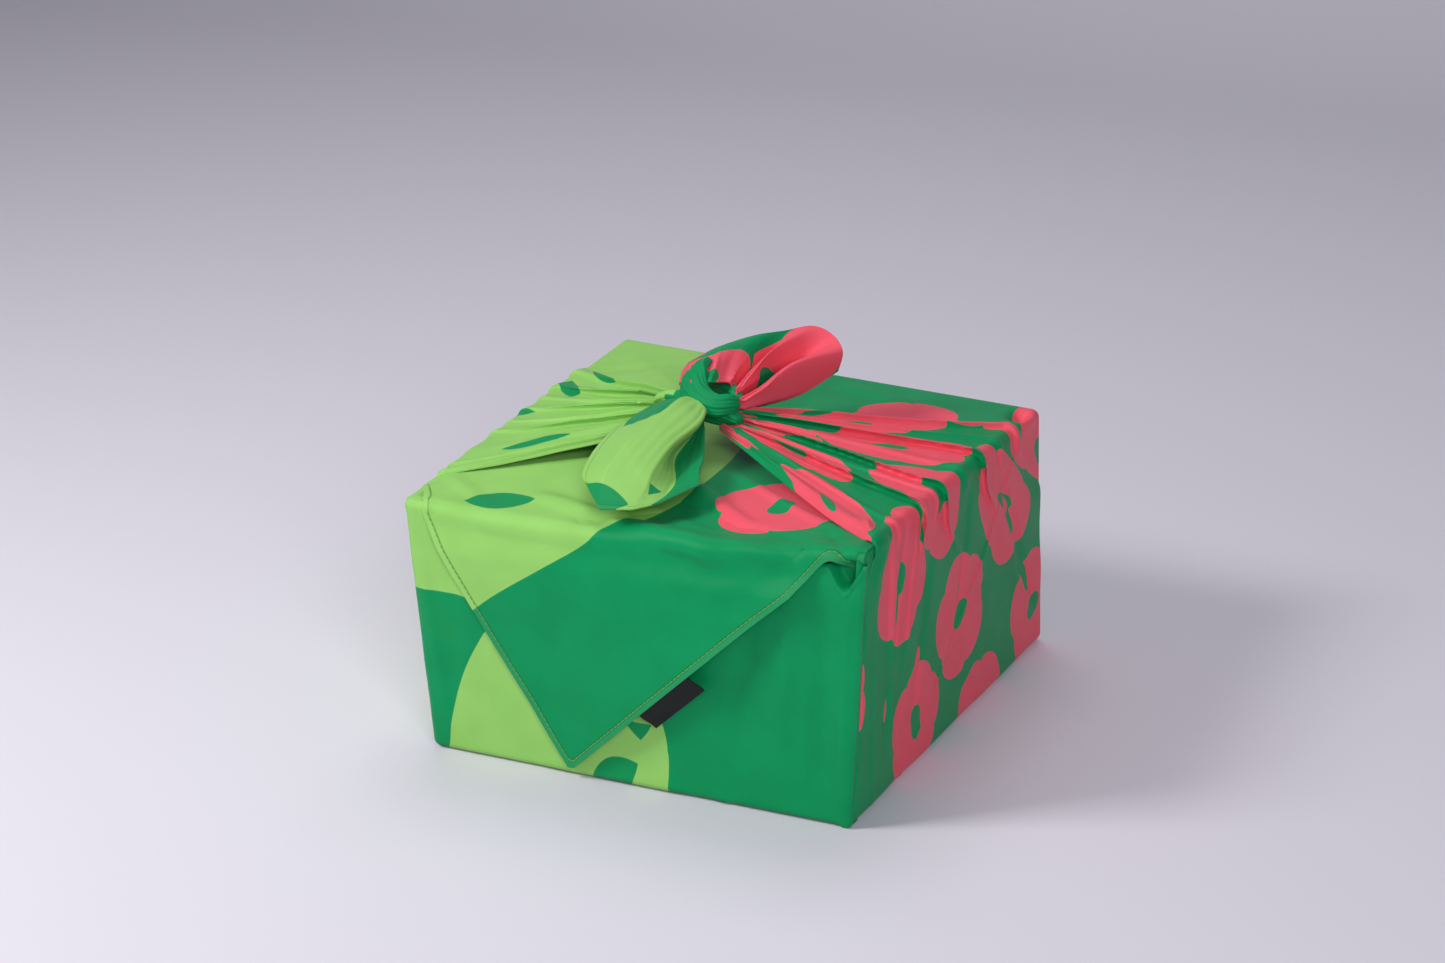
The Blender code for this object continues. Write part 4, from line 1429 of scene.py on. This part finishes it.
@dataclass
class Band:
    """A strand of gathered cloth in the knot, pleated along its length."""

    name: str
    sections: tuple[Section, ...]
    middle: tuple[float, float]
    flat: tuple[float, float]
    pleats: float = 7.0
    pleat_height: float = 0.7
    twist: float = 0.8
    rings: int = 72
    sides: int = 96

    def build(self, material: bpy.types.Material) -> bpy.types.Object:
        """Makes the band as a rolled sheet with closed ends.

        Args:
            material: The printed cloth.

        Returns:
            The piece.
        """
        share = np.linspace(0, 1, self.rings)
        table = np.array([[*s.centre, *s.width_axis, s.half_width, s.half_thickness] for s in self.sections])
        read = through(table, share)
        centre = read[:, :3]
        ahead = np.gradient(centre, axis=0)
        ahead /= np.linalg.norm(ahead, axis=1, keepdims=True)
        wide = read[:, 3:6] - ahead * (read[:, 3:6] * ahead).sum(1, keepdims=True)
        wide /= np.linalg.norm(wide, axis=1, keepdims=True)
        thick = np.cross(ahead, wide)
        angle = np.linspace(0, 2 * math.pi, self.sides + 1)
        ring, turn = np.meshgrid(share, angle, indexing="ij")
        phase = turn * self.pleats + ring * self.twist * 2 * math.pi
        pleat = self.pleat_height * (np.abs(np.sin(phase / 2)) ** 0.7 - 0.6 + 0.3 * np.sin(phase * 2.3 + 1))
        close = np.sqrt(np.clip(1 - (2 * np.abs(ring - 0.5)) ** 14, 0.0, 1))
        half_w = (read[:, 6][:, None] + pleat) * close
        half_t = (read[:, 7][:, None] + pleat) * close
        points = centre[:, None] + wide[:, None] * (np.cos(turn) * half_w)[..., None]
        points += thick[:, None] * (np.sin(turn) * half_t)[..., None]
        around = 2 * math.pi * math.sqrt(read[:, 6].mean() * read[:, 7].mean()) * 1.3
        length = np.linalg.norm(np.diff(centre, axis=0), axis=1).sum()
        print_at = np.stack([ring * length, turn / (2 * math.pi) * around], axis=-1) + np.array(self.middle)
        made = Cloth(points, print_at, thickness=0.8).piece(self.name, material, weld=True)
        return declare(made, self.flat)


OVER_BAND = Band(
    name="over_band",
    sections=(
        Section((-21, 6, 206), (0.55, 0.35, 0.75), 8, 4),
        Section((-24, -7, 203), (0.6, 0.4, 0.7), 9.5, 5),
        Section((-20, -18, 198), (0.6, 0.5, 0.6), 8.5, 5),
        Section((-12, -25, 194.5), (0.5, 0.6, 0.6), 7.5, 4.8),
        Section((-2, -28, 193), (0.2, 0.6, 0.77), 6.8, 4.5),
        Section((5, -23, 193), (0.0, 0.6, 0.8), 6, 4),
        Section((6, -14, 190), (0.0, 0.7, 0.7), 5, 3),
    ),
    middle=(60.0, -230.0),
    flat=(0.05, 0.055),
)
UNDER_BAND = Band(
    name="under_band",
    sections=(
        Section((-46, 4, 182), (0.55, -0.8, 0.1), 15, 3.5),
        Section((-30, -8, 185), (0.4, -0.8, 0.4), 13, 6),
        Section((-12, -16, 187), (0.2, -0.7, 0.7), 12, 8),
        Section((2, -19, 184), (0.0, -0.8, 0.6), 10, 6),
        Section((12, -19, 182), (0.0, -0.95, 0.3), 9, 3),
    ),
    middle=(-34.0, 310.0),
    flat=(0.06, 0.065),
)
INNER_BAND = Band(
    name="inner_band",
    sections=(
        Section((-24, 12, 188), (0.1, 0.3, 0.95), 6, 3),
        Section((-14, 5, 191), (0.1, 0.3, 0.95), 7.5, 4),
        Section((-4, -3, 191), (0.1, 0.3, 0.95), 7.5, 4),
        Section((5, -10, 188), (0.1, 0.3, 0.95), 6, 3),
    ),
    middle=(60.0, -330.0),
    flat=(0.04, 0.05),
)


@dataclass
class CareLabel:
    """The label sewn under the flap's right hem, drooping back towards the panel behind."""

    start: float = 156.0
    length: float = 44.0
    sewn_in: float = 4.0
    showing: float = 12.0
    droop: float = 5.0
    clearance: float = 0.5
    thickness: float = 0.7

    def build(self, flap: Flap, material: bpy.types.Material) -> bpy.types.Object:
        """Makes the label.

        Args:
            flap: The flap that it is sewn to.
            material: The label tape.

        Returns:
            The piece.
        """
        top, tip = np.array(flap.right_top), np.array(flap.tip)
        hem = (tip - top) / np.hypot(*(tip - top))
        out_way = np.array([-hem[1], hem[0]])
        level = top[1] + self.start * hem[1]
        first = np.array([float(flap.borders(np.array(level))[1]), level])
        out, along = np.meshgrid(np.linspace(-self.sewn_in, self.showing, 26), np.linspace(0, self.length, 64))
        spot = first - along[..., None] * hem + out[..., None] * out_way
        x, z = spot[..., 0], spot[..., 1]
        standing = flap.standing(x, z)
        y = -PARCEL.front - standing + 1.0 + self.clearance + self.droop * smooth(out / self.showing)
        y += 0.35 * np.sin(along / 9.0) * smooth(out / self.showing)
        points = PARCEL.settle(np.stack([x, y, z], axis=-1))
        print_at = np.stack([out, along], axis=-1)
        cloth = Cloth(points, print_at, thickness=self.thickness)
        made = cloth.piece("care_label_tape", material)
        flat = ((self.sewn_in + self.showing) * MM, self.length * MM)
        return declare(made, flat, replaces="care_label")


@dataclass
class HemStitches:
    """Rows of sewing along a hem, laid by geometry nodes: one small thread on the surface for each stitch."""

    pitch: float = 3.4
    length: float = 2.3
    thickness: float = 0.6

    def tree(self, material: bpy.types.Material) -> bpy.types.GeometryNodeTree:
        """Makes the node tree.

        Args:
            material: The thread's finish.

        Returns:
            The tree, with its pitch, length and thickness as inputs.
        """
        group = bpy.data.node_groups.new("stitch_row", "GeometryNodeTree")
        face = group.interface
        face.new_socket("Geometry", in_out="INPUT", socket_type="NodeSocketGeometry")
        for name in ("Pitch", "Length", "Thickness"):
            face.new_socket(name, in_out="INPUT", socket_type="NodeSocketFloat")
        face.new_socket("Geometry", in_out="OUTPUT", socket_type="NodeSocketGeometry")
        kinds = {
            "inputs": "NodeGroupInput", "outputs": "NodeGroupOutput", "curve": "GeometryNodeMeshToCurve",
            "spaced": "GeometryNodeResampleCurve", "tangent": "GeometryNodeInputTangent",
            "aim": "FunctionNodeAlignRotationToVector", "thread": "GeometryNodeMeshCylinder", "half": "ShaderNodeMath",
            "place": "GeometryNodeInstanceOnPoints", "real": "GeometryNodeRealizeInstances",
            "dress": "GeometryNodeSetMaterial",
        }
        nodes = {name: group.nodes.new(kind) for name, kind in kinds.items()}
        nodes["spaced"].mode = "LENGTH"
        nodes["aim"].axis = "Z"
        nodes["half"].operation = "MULTIPLY"
        nodes["half"].inputs[1].default_value = 0.5
        nodes["thread"].inputs["Vertices"].default_value = 6
        nodes["dress"].inputs["Material"].default_value = material
        links = (
            ("inputs", "Geometry", "curve", "Mesh"), ("curve", "Curve", "spaced", "Curve"),
            ("inputs", "Pitch", "spaced", "Length"), ("tangent", 0, "aim", "Vector"),
            ("inputs", "Thickness", "half", 0), ("half", 0, "thread", "Radius"), ("inputs", "Length", "thread", "Depth"),
            ("spaced", "Curve", "place", "Points"), ("thread", "Mesh", "place", "Instance"),
            ("aim", "Rotation", "place", "Rotation"), ("place", "Instances", "real", "Geometry"),
            ("real", "Geometry", "dress", "Geometry"), ("dress", "Geometry", "outputs", "Geometry"),
        )
        for source, output, target, socket in links:
            group.links.new(nodes[source].outputs[output], nodes[target].inputs[socket])
        return group

    def build(self, name: str, paths: list[Array], material: bpy.types.Material) -> bpy.types.Object:
        """Sews along paths.

        Args:
            name: The piece's name.
            paths: Rows of points in millimetres, each the line of one row of stitches.
            material: The thread.

        Returns:
            The piece.
        """
        verts, edges = [], []
        for path in paths:
            edges += [(len(verts) + i, len(verts) + i + 1) for i in range(len(path) - 1)]
            verts += (path * MM).tolist()
        mesh = bpy.data.meshes.new(name)
        mesh.from_pydata(verts, edges, [])
        made = linked(name, mesh)
        sewing = made.modifiers.new("stitches", "NODES")
        sewing.node_group = self.tree(material)
        sizes = {"Pitch": self.pitch, "Length": self.length, "Thickness": self.thickness}
        for item in sewing.node_group.interface.items_tree:
            if item.in_out == "INPUT" and item.name in sizes:
                sewing[item.identifier] = sizes[item.name] * MM
        finished(made, material)
        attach(made, "root")
        log.info("%s: %d faces", name, len(made.data.polygons))
        return made


@dataclass
class Studio:
    """A pale floor, soft light from the upper left, and the camera."""

    camera_place: tuple[float, float, float] = (0.75489, -1.75806, 0.83964)
    azimuth: float = 23.507
    elevation: float = 20.184
    lens: float = 84.706
    floor_size: float = 7.0
    bends_at: float = 1.6
    floor_colour: tuple = linear("D9D6E2")
    aim: tuple[float, float, float] = (0.0, 0.0, 0.1)

    def camera(self) -> None:
        """Makes the scene's camera."""
        data = bpy.data.cameras.new("camera")
        data.lens = self.lens
        data.sensor_width = 36.0
        data.clip_end = 50.0
        made = linked("camera", data)
        made.location = self.camera_place
        made.rotation_euler = (math.radians(90 - self.elevation), 0.0, math.radians(self.azimuth))
        bpy.context.scene.camera = made

    def lamp(self, name: str, place: tuple, size: float, power: float, colour: tuple) -> None:
        """Makes a soft square light.

        Args:
            name: The light's name.
            place: Where it stands, in metres.
            size: The side of the square.
            power: Its power in watts.
            colour: Its colour.
        """
        data = bpy.data.lights.new(name, "AREA")
        data.size = size
        data.energy = power
        data.color = colour
        made = linked(name, data)
        made.location = place
        made.rotation_euler = (Vector(self.aim) - Vector(place)).to_track_quat("-Z", "Y").to_euler()

    def floor(self) -> None:
        """Makes the floor, which bends up into a backdrop far behind."""
        half = self.floor_size / 2
        x, y = np.meshgrid(np.linspace(-half, half, 30), np.linspace(-half, half, 60))
        points = np.stack([x, y, 0.9 * np.maximum(y - self.bends_at, 0) ** 2], axis=-1)
        mesh = bpy.data.meshes.new("floor")
        mesh.from_pydata(points.reshape(-1, 3).tolist(), [], grid_faces(*x.shape).reshape(-1, 4).tolist())
        mesh.shade_smooth()
        made = linked("floor", mesh)
        board = Board("floor_paper")
        share = board.math("MULTIPLY", board.noise(board.add("TexCoord").outputs["Object"], 300.0), 0.05)
        board.join(board.blend(share, self.floor_colour, (0.5, 0.5, 0.55, 1.0)), "Base Color")
        board.set(Roughness=0.9)
        mesh.materials.append(board.material)

    def build(self) -> None:
        """Sets the studio up."""
        self.camera()
        self.floor()
        self.lamp("key", (-0.95, -0.85, 1.15), 0.45, 17.0, (1.0, 0.98, 0.95))
        self.lamp("fill", (1.3, -2.0, 1.3), 0.9, 30.0, (0.99, 0.98, 1.0))
        self.lamp("top", (-0.3, 0.8, 2.1), 1.2, 13.0, (1.0, 1.0, 1.0))
        world = bpy.data.worlds.new("studio")
        world.use_nodes = True
        world.node_tree.nodes["Background"].inputs["Color"].default_value = (0.9, 0.9, 1.0, 1.0)
        world.node_tree.nodes["Background"].inputs["Strength"].default_value = 0.18
        bpy.context.scene.world = world
        bpy.context.scene.view_settings.view_transform = "Standard"


def main() -> None:
    """Builds and dresses every piece."""
    logging.basicConfig(level=logging.INFO, format="%(name)s: %(message)s")
    satin = PrintedSatin().build("printed_satin")
    tape = WovenLabel().build()
    thread = SewingThread().build()
    Studio().build()
    BackWrap().build(satin)
    NearPanel().build(satin)
    flap = Flap()
    flap.build(satin)
    RIGHT_PANEL.build(satin)
    LEFT_PANEL.build(satin)
    for band in (OVER_BAND, UNDER_BAND, INNER_BAND):
        band.build(satin)
    FRONT_EAR.build(satin)
    REAR_EAR.build(satin)
    CareLabel().build(flap, tape)
    HemStitches().build("hem_stitches", [flap.stitch_path(), FRONT_EAR.stitch_path()], thread)


if __name__ == "__main__":
    main()
